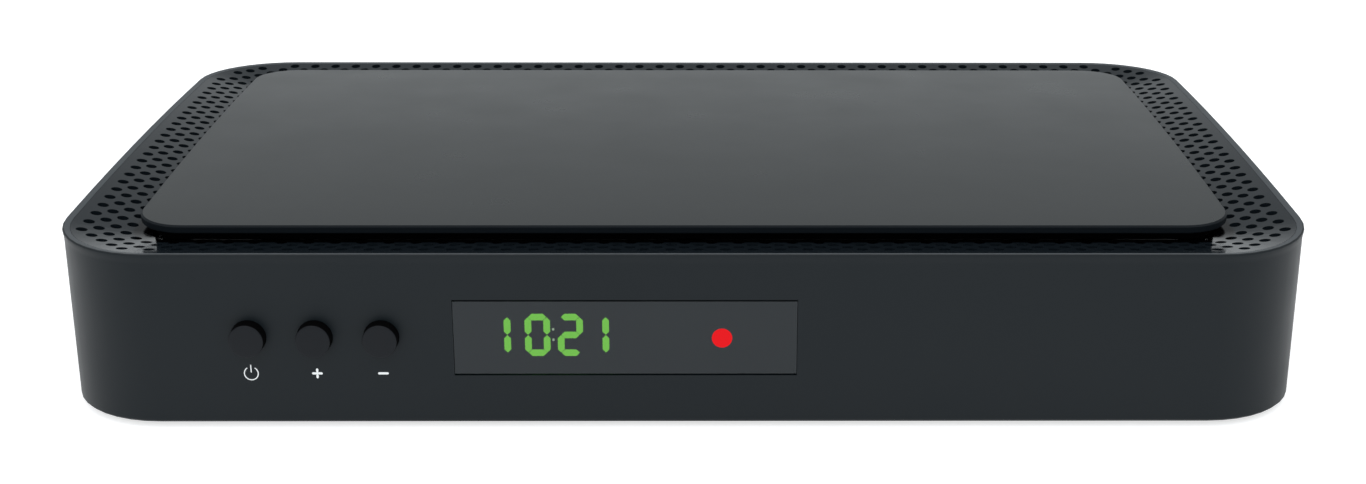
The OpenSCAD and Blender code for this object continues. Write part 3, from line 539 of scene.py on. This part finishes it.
def crown(y):
    """Height of the rim's crown over the table at a place from front to back."""
    return RIM_TOP + CROWN_RISE * (1 - ((y - MID_Y) / HALF_D) ** 2)


def inset_of(spot):
    """How far a spot lies inside the casing's rounded outline."""
    over = (max(abs(spot.x) - CORE_X, 0), max(abs(spot.y - MID_Y) - CORE_Y, 0))
    return CASE_R - math.hypot(*over)


def shell_coat(middle):
    """The land on the rim with its painted highlight, or the plain casing."""
    return 1 if inset_of(middle) > LAND_IN and crown(middle.y) - middle.z < LAND_DROP else 0


def plate_coat(middle):
    """The painted shade of the underside and pillars, the side's darker painted shade or the
    satin sheet.
    """
    drop = crown(middle.y) - middle.z
    return 1 if drop > UNDER_DROP else 2 if drop > SIDE_DROP else 0


smooth_copy("outer_shell", "casing_shell", [casing_abs, rim_highlight_abs], shell_coat)
smooth_copy("vent_panel", "vent_band", [band_abs])
smooth_copy("top_plate", "floating_plate", [plate_abs, painted_shade_black, plate_side_shade_abs], plate_coat)

# %% [markdown]
# A thin baffle stands under the plate, a little in from its edge, coated in nearly black painted
# shade. It keeps light from shining through the gap, and with its painted shade the gap reads as
# a plain black line. It starts as a grid of one face, whose corners are bevelled round and whose
# middle is inset and taken out. Planes cut it across in even steps, so that it can bend. It is
# then extruded to its height, and every point is lifted to the crown, so that it is curved as the
# plate is.

# %% Baffle under the plate
BAFFLE_IN = 14.9
BAFFLE_WIDER = 3
BAFFLE_T = 0.7
BAFFLE_TOP = 0.95
BAFFLE_FOOT = 2.85
BEND_STEP = 6.25
BENDS_EACH_WAY = 7


def all_of(bm):
    """Every point, edge and face of a bmesh, as cutting wants them."""
    return list(bm.verts) + list(bm.edges) + list(bm.faces)


fence = bmesh.new()
bmesh.ops.create_grid(fence, x_segments=1, y_segments=1, size=1)
bmesh.ops.scale(fence, vec=(HALF_W - BAFFLE_IN, HALF_D - BAFFLE_IN, 1), verts=fence.verts)
bmesh.ops.bevel(fence, geom=list(fence.verts), offset=CASE_R - BAFFLE_IN + BAFFLE_WIDER,
                segments=8, profile=0.5, affect="VERTICES", material=-1)
bmesh.ops.inset_region(fence, faces=list(fence.faces), thickness=BAFFLE_T, use_boundary=True,
                       use_even_offset=True)
inside = max(fence.faces, key=lambda face: face.calc_area())
bmesh.ops.delete(fence, geom=[inside], context="FACES_ONLY")
for k in range(-BENDS_EACH_WAY, BENDS_EACH_WAY + 1):
    bmesh.ops.bisect_plane(fence, geom=all_of(fence), plane_co=(0, k * BEND_STEP, 0),
                           plane_no=(0, 1, 0))
grown = bmesh.ops.extrude_face_region(fence, geom=list(fence.faces))["geom"]
lower_rim = [v for v in grown if isinstance(v, bmesh.types.BMVert)]
bmesh.ops.translate(fence, vec=(0, 0, BAFFLE_TOP - BAFFLE_FOOT), verts=lower_rim)
bmesh.ops.recalc_face_normals(fence, faces=fence.faces)
bmesh.ops.translate(fence, vec=(0, MID_Y, 0), verts=fence.verts)
for v in fence.verts:
    v.co.z += crown(v.co.y) - BAFFLE_TOP
# The baffle takes the same painted shade as the plate's underside.
baffle = finish_piece(fence, "plate_shade_baffle", [painted_shade_black])
print("baffle", len(baffle.data.polygons), "faces")

# %% [markdown]
# The floor tray and the socket panel are moulded in the same grained plastic as the shell,
# so that the case reads as one from every side.

# %% Floor tray and socket panel
smooth_copy("bottom_tray", "floor_tray", [casing_abs])
smooth_copy("rear_panel", "socket_panel", [casing_abs])

# %% [markdown]
# ## Turned parts
# Caps, lamps, connectors, washers and feet are all turned: their outline is drawn once and
# spun about an axis. A spin leaves doubled points where it closes and where the outline
# meets the axis, so these are merged, and the normals are worked out afresh.

# %% Turned bodies
SAME_POINT = 1e-4


def turned(outline, x, z, steps=64):
    """A turned body along Y at (x, z), from (radius, y) pairs."""
    bm = bmesh.new()
    points = [bm.verts.new((r, y, 0)) for r, y in outline]
    pairs = list(zip(points, points[1:]))
    if outline[0][0] > 0:
        pairs.append((points[-1], points[0]))
    edges = [bm.edges.new(pair) for pair in pairs]
    bmesh.ops.spin(bm, geom=points + edges, cent=(0, 0, 0), axis=(0, 1, 0), angle=math.tau,
                   steps=steps, use_merge=True)
    bmesh.ops.remove_doubles(bm, verts=bm.verts, dist=SAME_POINT)
    bmesh.ops.recalc_face_normals(bm, faces=bm.faces)
    bmesh.ops.translate(bm, vec=(x, 0, z), verts=bm.verts)
    return bm


wall_y = reach("display_window")[0].y
print("the front wall's face lies at y =", round(wall_y, 2), "mm")

# %% [markdown]
# ## Buttons
# Each button is a turned cap with a slightly domed face and an eased edge, a flange that holds it
# behind the wall, and a short stem. Its skirt is painted nearly black, as painted shade beside
# the face. The caps ride on their own bodies, as the model's do.

# %% Button caps
WALL = 2.0
PLAY = 0.1
FLANGE = 0.8
FLANGE_LIP = 1.05
STEM_R = 1.7
EASE = 0.22
EASE_ANGLES = (30, 60, 90)
DOME = 0.06
DOME_RINGS = 5
FACE_DEPTH = 0.7


def button_cap(node, name):
    """A turned cap that stands for a packed one. Returns its middle."""
    low, high = reach(node)
    flange_r = (high.x - low.x) / 2
    cap_r = flange_r - FLANGE_LIP
    x, z = (low.x + high.x) / 2, (low.z + high.z) / 2
    flange_y = wall_y + WALL + PLAY
    face_r = cap_r - EASE
    dome = [(face_r * k / DOME_RINGS, low.y + DOME * (k / DOME_RINGS) ** 2)
            for k in range(DOME_RINGS + 1)]
    rim_y = low.y + DOME
    edge = [(face_r + EASE * math.sin(a), rim_y + EASE * (1 - math.cos(a)))
            for a in map(math.radians, EASE_ANGLES)]
    back = [(cap_r, flange_y), (flange_r, flange_y), (flange_r, flange_y + FLANGE),
            (STEM_R, flange_y + FLANGE), (STEM_R, high.y), (0, high.y)]
    bm = turned(dome + edge + back, x, z)
    # The front of the cap takes its plastic; the skirt takes the painted shade.
    for face in bm.faces:
        middle = face.calc_center_median()
        off = math.hypot(middle.x - x, middle.z - z)
        face.material_index = 0 if middle.y < rim_y + EASE * FACE_DEPTH and off < cap_r else 1
    stand_in(bm, name, [cap_abs, skirt_shade_abs], node, sharp=40)
    return x, z


power_x, button_z = button_cap("power_button", "power_cap")
up_x = button_cap("channel_up_button", "channel_up_cap")[0]
down_x = button_cap("channel_down_button", "channel_down_cap")[0]
print("caps at x =", round(power_x, 2), round(up_x, 2), round(down_x, 2), "mm")

# %% [markdown]
# ## Printed signs
# Under the buttons stand three plain signs in white ink: the standard standby sign, a plus
# and a minus. Print has round stroke ends and hardly any thickness. No operator draws a
# line of even width with round ends, so a small function lays one strip of faces along the
# points, closes it with two half discs, and extrudes it to the thickness of the ink.

# %% Strokes
END_STEPS = 8


def stroke(points, width, near, far, plane="XZ"):
    """A line of even width through points of a plane, drawn with round ends and given a
    thickness from near to far across that plane."""
    spots = [Vector(p) for p in points]
    half = width / 2
    ways = [(b - a).normalized() for a, b in zip(spots, spots[1:])]
    ways = [ways[0]] + [(a + b).normalized() for a, b in zip(ways, ways[1:])] + [ways[-1]]
    sides = [Vector((-w.y, w.x)) * half for w in ways]
    bm = bmesh.new()

    def lift(p):
        return bm.verts.new((p.x, near, p.y) if plane == "XZ" else (near, p.x, p.y))

    left = [lift(p + s) for p, s in zip(spots, sides)]
    right = [lift(p - s) for p, s in zip(spots, sides)]
    for i in range(len(spots) - 1):
        bm.faces.new((left[i], left[i + 1], right[i + 1], right[i]))
    for spot, side, way, pair in ((spots[0], sides[0], -ways[0], (left[0], right[0])),
                                  (spots[-1], -sides[-1], ways[-1], (right[-1], left[-1]))):
        angles = [math.pi * k / END_STEPS for k in range(1, END_STEPS)]
        end = [lift(spot + side * math.cos(a) + way * half * math.sin(a)) for a in angles]
        bm.faces.new([pair[0]] + end + [pair[1]])
    grown = bmesh.ops.extrude_face_region(bm, geom=list(bm.faces))["geom"]
    across = (0, far - near, 0) if plane == "XZ" else (far - near, 0, 0)
    face_points = [v for v in grown if isinstance(v, bmesh.types.BMVert)]
    bmesh.ops.translate(bm, vec=across, verts=face_points)
    bmesh.ops.recalc_face_normals(bm, faces=bm.faces)
    return bm


def joined(parts, coats=None):
    """Several bmeshes in one. Each part takes its own coat number, or else the first coat."""
    whole = bmesh.new()
    for bm, coat in zip(parts, coats or [0] * len(parts)):
        for face in bm.faces:
            face.material_index = coat
        passing = bpy.data.meshes.new("passing")
        bm.to_mesh(passing)
        whole.from_mesh(passing)
        bm.free()
        bpy.data.meshes.remove(passing)
    return whole


print("a stroke's end has", END_STEPS, "steps")

# %% Signs under the buttons
SIGN_DROP = 6.8
INK_T = 0.02
STANDBY_R = 1.2
STANDBY_GAP = 36
STANDBY_STEPS = 40
STANDBY_FROM, STANDBY_TO = 0.25, 1.55
THIN = 0.18
BOLD = 0.42
ARM = 0.72
sign_z = button_z - SIGN_DROP


def ink(points, width):
    """One stroke of ink on the front wall's face."""
    return stroke(points, width, wall_y, wall_y - INK_T)


def printed(strokes, name):
    """A sign of white ink on the front wall."""
    finish_piece(joined(strokes), name, [print_white], sharp=50)


def bar(x):
    """The level bar of a plus or minus sign."""
    return ink([(x - ARM, sign_z), (x + ARM, sign_z)], BOLD)


open_turn = 360 - 2 * STANDBY_GAP
arc = [(power_x + STANDBY_R * math.sin(a), sign_z + STANDBY_R * math.cos(a))
       for a in (math.radians(STANDBY_GAP + open_turn * k / STANDBY_STEPS)
                 for k in range(STANDBY_STEPS + 1))]
upright = [(power_x, sign_z + STANDBY_FROM), (power_x, sign_z + STANDBY_TO)]
printed([ink(arc, THIN), ink(upright, THIN)], "standby_sign")
above = [(up_x, sign_z + BOLD), (up_x, sign_z + ARM)]
below = [(up_x, sign_z - ARM), (up_x, sign_z - BOLD)]
printed([bar(up_x), ink(above, BOLD), ink(below, BOLD)], "plus_sign")
printed([bar(down_x)], "minus_sign")
print("signs", round(sign_z, 2), "mm over the table")

# %% [markdown]
# ## Display window and lamp
# The window is a flat sheet that lies in its opening with a thin dark line round it. It is
# a block with bevelled edges, and its front faces take the smoked film. Behind it the lit
# bars show through. The lamp's barrel is black, and only a thin disc on the window's face
# is lit, so that it reads as a round dot from any side.

# %% Window and lamp
SIDE_FIT = 0.1
TOP_FIT = 0.12
SET_BACK = 0.02
SHEET_EASE = 0.12
FILM_REACH = 0.15
BARREL_EASE = 0.3
LENS_LIFT = 0.48
LENS_IN = 0.03


def block(low, high, ease=0.0):
    """A box between two corners, its edges eased by a small radius."""
    bm = bmesh.new()
    low, high = Vector(low), Vector(high)
    bmesh.ops.create_cube(bm, size=1)
    bmesh.ops.scale(bm, vec=high - low, verts=bm.verts)
    bmesh.ops.translate(bm, vec=(low + high) / 2, verts=bm.verts)
    if ease:
        bmesh.ops.bevel(bm, geom=list(bm.edges), offset=ease, segments=2, profile=0.5,
                        affect="EDGES", material=-1)
    return bm


low, high = reach("display_window")
window_x = (low.x + high.x) / 2
window_face = low.y + SET_BACK
trim = Vector((-SIDE_FIT, 0, TOP_FIT))
sheet = block(low + trim + Vector((0, SET_BACK, 0)), high - trim, SHEET_EASE)
for face in sheet.faces:
    face.material_index = 0 if face.calc_center_median().y < low.y + FILM_REACH else 1
stand_in(sheet, "smoked_window", [smoked, clear], "display_window", sharp=40)

low, high = reach("standby_lamp")
lamp_x, lamp_z = (low.x + high.x) / 2, (low.z + high.z) / 2
lamp_r = (high.x - low.x) / 2
barrel = turned([(0, low.y), (lamp_r - BARREL_EASE, low.y), (lamp_r, low.y + BARREL_EASE),
                 (lamp_r, high.y), (0, high.y)], lamp_x, lamp_z, steps=48)
stand_in(barrel, "round_lamp", [filter_black], "standby_lamp", sharp=40)
lens_r = lamp_r - LENS_IN
disc = turned([(0, window_face - LENS_IN), (lens_r - LENS_IN, window_face - LENS_IN),
               (lens_r, window_face), (0, window_face)], lamp_x, lamp_z + LENS_LIFT, steps=48)
finish_piece(disc, "lamp_lens", [lit_red], sharp=40)
print("the lamp's lit disc is", round(2 * lens_r, 2), "mm across")

# %% Lit bars
COLON_LEFT = 12.55
COLON_HALF_W = 0.3


def lit_coat(middle):
    """The two pale points between the pairs of digits, or a green bar."""
    return 1 if abs(middle.x - (window_x - COLON_LEFT)) < COLON_HALF_W else 0


smooth_copy("display_segments", "lit_bars", [lit_green, lit_pale], lit_coat)

# %% [markdown]
# ## Aerial connectors
# The two aerial connectors are turned brass with a real thread, 32 turns to the inch. The
# thread's outline is drawn once along the axis and spun through a full turn while it moves
# on by one pitch, so each turn runs into the next one. Two cutting planes then trim its
# ends, and the open rims are drawn in and bridged, which closes the sleeve inside the core.

# %% Thread
PITCH = 25.4 / 32
FLANK_ANGLE = math.radians(30)
CREST_R = 4.76
ROOT_R = 4.5
ROOT_FLAT = 0.2
THREAD_STEPS = 48
TUCK = 0.15
TUCK_IN = 0.05
ON_PLANE = 1e-3


def thread(y_from, y_to, x, z):
    """An outside thread along Y between two planes, its rims joined inside the core."""
    bm = bmesh.new()
    flank = (CREST_R - ROOT_R) * math.tan(FLANK_ANGLE)
    y, line = y_from - 2 * PITCH, []
    while y < y_to + 2 * PITCH:
        line += [(ROOT_R, y), (ROOT_R, y + ROOT_FLAT), (CREST_R, y + ROOT_FLAT + flank),
                 (CREST_R, y + PITCH - ROOT_FLAT - flank)]
        y += PITCH
    verts = [bm.verts.new((r, spot, 0)) for r, spot in line]
    edges = [bm.edges.new(pair) for pair in zip(verts, verts[1:])]
    bmesh.ops.spin(bm, geom=verts + edges, axis=(0, 1, 0), angle=math.tau, steps=THREAD_STEPS,
                   dvec=(0, PITCH / THREAD_STEPS, 0))
    bmesh.ops.remove_doubles(bm, verts=bm.verts, dist=ON_PLANE)
    for plane, way in ((y_from, -1), (y_to, 1)):
        bmesh.ops.bisect_plane(bm, geom=all_of(bm), plane_co=(0, plane, 0),
                               plane_no=(0, way, 0), clear_outer=True)
        rim = [e for e in bm.edges if e.is_boundary and
               all(abs(v.co.y - plane) < ON_PLANE for v in e.verts)]
        grown = bmesh.ops.extrude_edge_only(bm, edges=rim)["geom"]
        for v in (g for g in grown if isinstance(g, bmesh.types.BMVert)):
            shrink = (ROOT_R - TUCK_IN) / math.hypot(v.co.x, v.co.z)
            v.co = (v.co.x * shrink, v.co.y + way * TUCK, v.co.z * shrink)
    bmesh.ops.bridge_loops(bm, edges=[e for e in bm.edges if e.is_boundary])
    bmesh.ops.recalc_face_normals(bm, faces=bm.faces)
    bmesh.ops.translate(bm, vec=(x, 0, z), verts=bm.verts)
    return bm


print("thread of", round(PITCH, 3), "mm pitch")

# %% Aerial connectors
SHOULDER = 0.6
MOUTH_EASE = 0.25
BORE_EASE = 0.1
CORE_PLAY = 0.05
THREAD_GAP = 0.15
THREAD_STOP = 0.4

core_low, core_high = reach("connector_cores")
core_r = (core_high.z - core_low.z) / 2
nut_low, nut_high = reach("connector_nuts")
low, high = reach("lnb_connector")
aerial_z = (low.z + high.z) / 2
aerial_end = high.y


def aerial(node, name):
    """A hollow turned connector with its shoulder and thread. Returns its middle."""
    low, high = reach(node)
    x = (low.x + high.x) / 2
    bore_r = core_r + CORE_PLAY
    shoulder_r = (high.x - low.x) / 2
    body = turned([(0, low.y), (shoulder_r, low.y), (shoulder_r, low.y + SHOULDER),
                   (ROOT_R, low.y + SHOULDER), (ROOT_R, aerial_end - MOUTH_EASE),
                   (ROOT_R - MOUTH_EASE, aerial_end), (bore_r + BORE_EASE, aerial_end),
                   (bore_r, aerial_end - BORE_EASE), (bore_r, core_low.y), (0, core_low.y)],
                  x, aerial_z)
    sleeve = thread(nut_high.y + THREAD_GAP, aerial_end - THREAD_STOP, x, aerial_z)
    stand_in(joined([body, sleeve]), name, [nickel], node, sharp=25)
    return x


AERIAL_X = (aerial("lnb_connector", "aerial_in_connector"),
            aerial("loop_connector", "aerial_out_connector"))
print("aerial connectors at x =", [round(x, 2) for x in AERIAL_X], "mm")

# %% [markdown]
# Nuts and washers hold the connectors to the panel. A nut is a hexagon with a round bore:
# two loops of as many points each, one subdivided from the hexagon and one round, are
# bridged into a flat ring, which is then given its height. What lies furthest out is leant
# towards the middle, as a turned chamfer would leave it.

# %% Nuts and washers
NUT_R = 6.35
BORE_R = 4.6
BORE_STEPS = 48
CHAMFER_FROM = 0.93
CHAMFER_LEAN = 0.6
WASHER_EASE = 0.08
UPRIGHT = Matrix.Rotation(-math.pi / 2, 3, "X")


def nut(x, low_y, high_y):
    """A hexagonal nut with a bore, along Y."""
    bm = bmesh.new()
    outer = bmesh.ops.create_circle(bm, radius=NUT_R, segments=6)["verts"]
    hexagon = list({e for v in outer for e in v.link_edges})
    bmesh.ops.subdivide_edges(bm, edges=hexagon, cuts=BORE_STEPS // 6 - 1)
    bmesh.ops.create_circle(bm, radius=BORE_R, segments=BORE_STEPS)
    bmesh.ops.bridge_loops(bm, edges=list(bm.edges))
    grown = bmesh.ops.extrude_face_region(bm, geom=list(bm.faces))["geom"]
    top = [v for v in grown if isinstance(v, bmesh.types.BMVert)]
    bmesh.ops.translate(bm, vec=(0, 0, high_y - low_y), verts=top)
    bmesh.ops.recalc_face_normals(bm, faces=bm.faces)
    for v in bm.verts:
        beyond = math.hypot(v.co.x, v.co.y) - NUT_R * CHAMFER_FROM
        if beyond > 0:
            lean = beyond * CHAMFER_LEAN
            v.co.z += lean if v.co.z < 0.1 else -lean
    bmesh.ops.rotate(bm, cent=(0, 0, 0), matrix=UPRIGHT, verts=bm.verts)
    bmesh.ops.translate(bm, vec=(x, low_y, aerial_z), verts=bm.verts)
    return bm


stand_in(joined([nut(x, nut_low.y, nut_high.y) for x in AERIAL_X]), "aerial_nuts", [nickel],
         "connector_nuts", sharp=25)

low, high = reach("connector_washers")
washer_r = (high.z - low.z) / 2
washer = [(BORE_R, low.y), (washer_r - WASHER_EASE, low.y), (washer_r, low.y + WASHER_EASE),
          (washer_r, high.y - WASHER_EASE), (washer_r - WASHER_EASE, high.y), (BORE_R, high.y)]
stand_in(joined([turned(washer, x, aerial_z) for x in AERIAL_X]), "aerial_washers", [zinc],
         "connector_washers", sharp=25)
print("nuts and washers round", BORE_R, "mm bores")

# %% [markdown]
# The white insulator fills the connector's mouth. A funnel in it leads the cable's inner
# wire to a small gilt clip, so each is two turned parts in one piece with two coats. Radius
# and depth behind the face make up the outlines of funnel and clip.

# %% Insulators
FUNNEL = ((1.5, 0), (0.6, 0.9), (0.6, 4.0), (0, 4.0))
CLIP = ((0.34, 3.9), (0.58, 3.9), (0.58, 1.0), (0.34, 1.0))
CORE_EASE = 0.15


def insulator(x):
    """A white insulator and the clip inside it."""
    face = core_high.y
    body = turned([(0, core_low.y), (core_r, core_low.y), (core_r, face - CORE_EASE),
                   (core_r - CORE_EASE, face)] + [(r, face - deep) for r, deep in FUNNEL],
                  x, aerial_z, steps=48)
    clip = turned([(r, face - deep) for r, deep in CLIP], x, aerial_z, steps=24)
    return [body, clip]


both = [part for x in AERIAL_X for part in insulator(x)]
stand_in(joined(both, [0, 1, 0, 1]), "aerial_insulators", [moulded_white, gold],
         "connector_cores")
print("insulators", round(2 * core_r, 2), "mm across")

# %% [markdown]
# ## Sockets
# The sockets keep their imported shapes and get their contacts. A network plug is met by
# eight gilt springs. Each is a bent wire that comes up from the back, leans towards the
# mouth and ends free, so it is one stroke through five points, seen from the side.

# %% Network socket
SPRINGS = 8
SPRING_PITCH = 1.02
SPRING_W = 0.3
SPRING_HALF_T = 0.17
SPRING_PATH = ((1.6, 10.6), (2.6, 10.4), (7.4, 7.4), (9.0, 7.0), (11.4, 7.6))

low, high = reach("network_socket")
network_x = (low.x + high.x) / 2
smooth_copy("network_socket", "network_housing", [nylon_black])
path = [(high.y - deep, low.z + up) for deep, up in SPRING_PATH]
spots = [network_x + (k - (SPRINGS - 1) / 2) * SPRING_PITCH for k in range(SPRINGS)]
springs = [stroke(path, SPRING_W, x - SPRING_HALF_T, x + SPRING_HALF_T, "YZ") for x in spots]
finish_piece(joined(springs), "network_springs", [gold])
print(SPRINGS, "springs around x =", round(network_x, 2))

# %% [markdown]
# The picture and data sockets are plated shells with a plastic tongue inside, black in the
# one and white in the other. On the tongue lie flat gilt strips. The tongue is told from
# the shell by its place: it lies in the middle, and starts a little behind the mouth.

# %% Picture and data sockets
TONGUE_IN = 0.9
TONGUE_UP = 2.5
PLACE_SLACK = 0.01
PICTURE_PITCH = 1.0
DATA_PITCH = 2.3


def tongue_coat(x, z, half_w, thick, face):
    """A function that tells the faces of one socket's tongue from its shell's."""
    def coat_of(middle):
        level = z - PLACE_SLACK < middle.z < z + thick + PLACE_SLACK
        return 1 if abs(middle.x - x) < half_w and level and middle.y < face - TONGUE_IN else 0
    return coat_of


def contacts(name, spots, half_w, depths, heights):
    """Gilt strips at these places across, between two depths and two heights."""
    strips = [block((x - half_w, depths[0], heights[0]), (x + half_w, depths[1], heights[1]))
              for x in spots]
    finish_piece(joined(strips), name, [gold])


low, high = reach("hdmi_socket")
mouth, x, z = high.y, (low.x + high.x) / 2, low.z + TONGUE_UP
smooth_copy("hdmi_socket", "picture_socket", [tinplate, nylon_black],
            tongue_coat(x, z, half_w=5.95, thick=0.9, face=mouth))
contacts("picture_contacts", [x + k * PICTURE_PITCH for k in range(-5, 5)], half_w=0.22,
         depths=(mouth - 7.5, mouth - 1.5), heights=(z + 0.9, z + 0.94))

low, high = reach("usb_socket")
mouth, x, z = high.y, (low.x + high.x) / 2, high.z - TONGUE_UP
smooth_copy("usb_socket", "data_socket", [tinplate, moulded_white],
            tongue_coat(x, z, half_w=5.6, thick=1.8, face=mouth))
contacts("data_contacts", [x + k * DATA_PITCH for k in (-1.5, -0.5, 0.5, 1.5)], half_w=0.5,
         depths=(mouth - 9, mouth - 1.8), heights=(z - 0.05, z))
print("fourteen contact strips on two tongues")

# %% [markdown]
# The optical port has a red lens deep inside. The audio jack's bore is lined with metal
# and ringed at its mouth, and the power jack has a plated pin on its axis. Linings and pin
# are told by their distance from the axis.

# %% Optical port, audio jack and power jack
PORT_LENS = ((0, 7.6), (0.6, 7.65), (0.95, 7.85), (1.1, 8.2), (1.1, 8.98), (0, 8.98))
JACK_RING = ((1.85, 0), (1.85, 0.12), (2.0, 0.2), (2.7, 0.2), (2.85, 0.12), (2.85, 0))
JACK_BORE_R = 1.85
PIN_R = 1.05
PIN_DEPTH = 10.6
PIN_UP = 6.5


def along(axis_x, axis_z, radius, from_y=-math.inf):
    """A function that tells faces near an axis, beyond some depth, from the rest."""
    def coat_of(middle):
        off = math.hypot(middle.x - axis_x, middle.z - axis_z)
        return 1 if off < radius and middle.y > from_y else 0
    return coat_of


low, high = reach("optical_socket")
smooth_copy("optical_socket", "optical_housing", [nylon_black])
port_lens = turned([(r, high.y - deep) for r, deep in PORT_LENS], (low.x + high.x) / 2,
                   (low.z + high.z) / 2, steps=32)
finish_piece(port_lens, "optical_lens", [lit_red], sharp=40)

low, high = reach("av_jack")
x, z = (low.x + high.x) / 2, (low.z + high.z) / 2
smooth_copy("av_jack", "audio_jack", [nylon_black, nickel], along(x, z, JACK_BORE_R))
jack_ring = turned([(r, high.y + out) for r, out in JACK_RING], x, z, steps=48)
finish_piece(jack_ring, "audio_jack_ring", [nickel])

low, high = reach("power_jack")
x, z = (low.x + high.x) / 2, low.z + PIN_UP
smooth_copy("power_jack", "power_inlet", [nylon_black, nickel],
            along(x, z, PIN_R, high.y - PIN_DEPTH))

# %% [markdown]
# ## Feet
# Four soft discs stand in seats in the floor. Moulded rubber leaves its mould with a full
# round at the edge and a slight hollow in the sole, so each is turned with both. A turned
# body lies along Y, so a quarter turn about X stands it up.

# %% Feet
FOOT_R = 6.0
SOLE = ((0, -0.12), (FOOT_R - 1.6, -0.12), (FOOT_R - 1.0, 0), (FOOT_R - 0.45, 0),
        (FOOT_R - 0.13, -0.13), (FOOT_R, -0.45))

low, high = reach("feet")
middle = (low + high) / 2
soles = []
for way_x in (-1, 1):
    for way_y in (-1, 1):
        x = middle.x + way_x * ((high.x - low.x) / 2 - FOOT_R)
        y = middle.y + way_y * ((high.y - low.y) / 2 - FOOT_R)
        disc = turned([*SOLE, (FOOT_R, low.z - high.z), (0, low.z - high.z)], 0, 0, steps=48)
        bmesh.ops.rotate(disc, cent=(0, 0, 0), matrix=UPRIGHT, verts=disc.verts)
        bmesh.ops.translate(disc, vec=(x, y, low.z), verts=disc.verts)
        soles.append(disc)
feet = stand_in(joined(soles), "rubber_feet", [foot_rubber], "feet", sharp=40)
print("feet from", round(min(v.co.z for v in feet.data.vertices) / MM, 3), "mm")

# %% [markdown]
# ## The pieces that stay as they are
# Boards, chips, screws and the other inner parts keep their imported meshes, whose triangles
# already point the right way. Each takes the coat of its material slot, and four take one
# that suits them better than the rest of their slot.

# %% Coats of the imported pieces
COATS = {
    "casing_plastic": casing_abs, "plate_plastic": plate_abs, "window_plastic": smoked,
    "lit_green": lit_green, "lamp_red": lit_red, "rubber": foot_rubber, "screw_steel": zinc,
    "plated_metal": nickel, "insulator_white": moulded_white, "black_plastic": nylon_black,
    "board_laminate": mask_green, "ribbon_film": film, "thermal_silicone": silicone,
    "sink_aluminium": aluminium, "capacitor_sleeve": sleeve_blue,
}
# The panel screws' blackened steel is also painted shade where their heads show under the plate.
OWN_COATS = {
    "display_module": filter_black, "infrared_receiver": filter_black,
    "panel_screws": black_steel, "tuner_can": tinplate,
}
for name, piece in nodes.items():
    piece.data.materials.clear()
    piece.data.materials.append(OWN_COATS.get(name, COATS[SLOTS[name]]))
print("painted", len(nodes), "pieces")
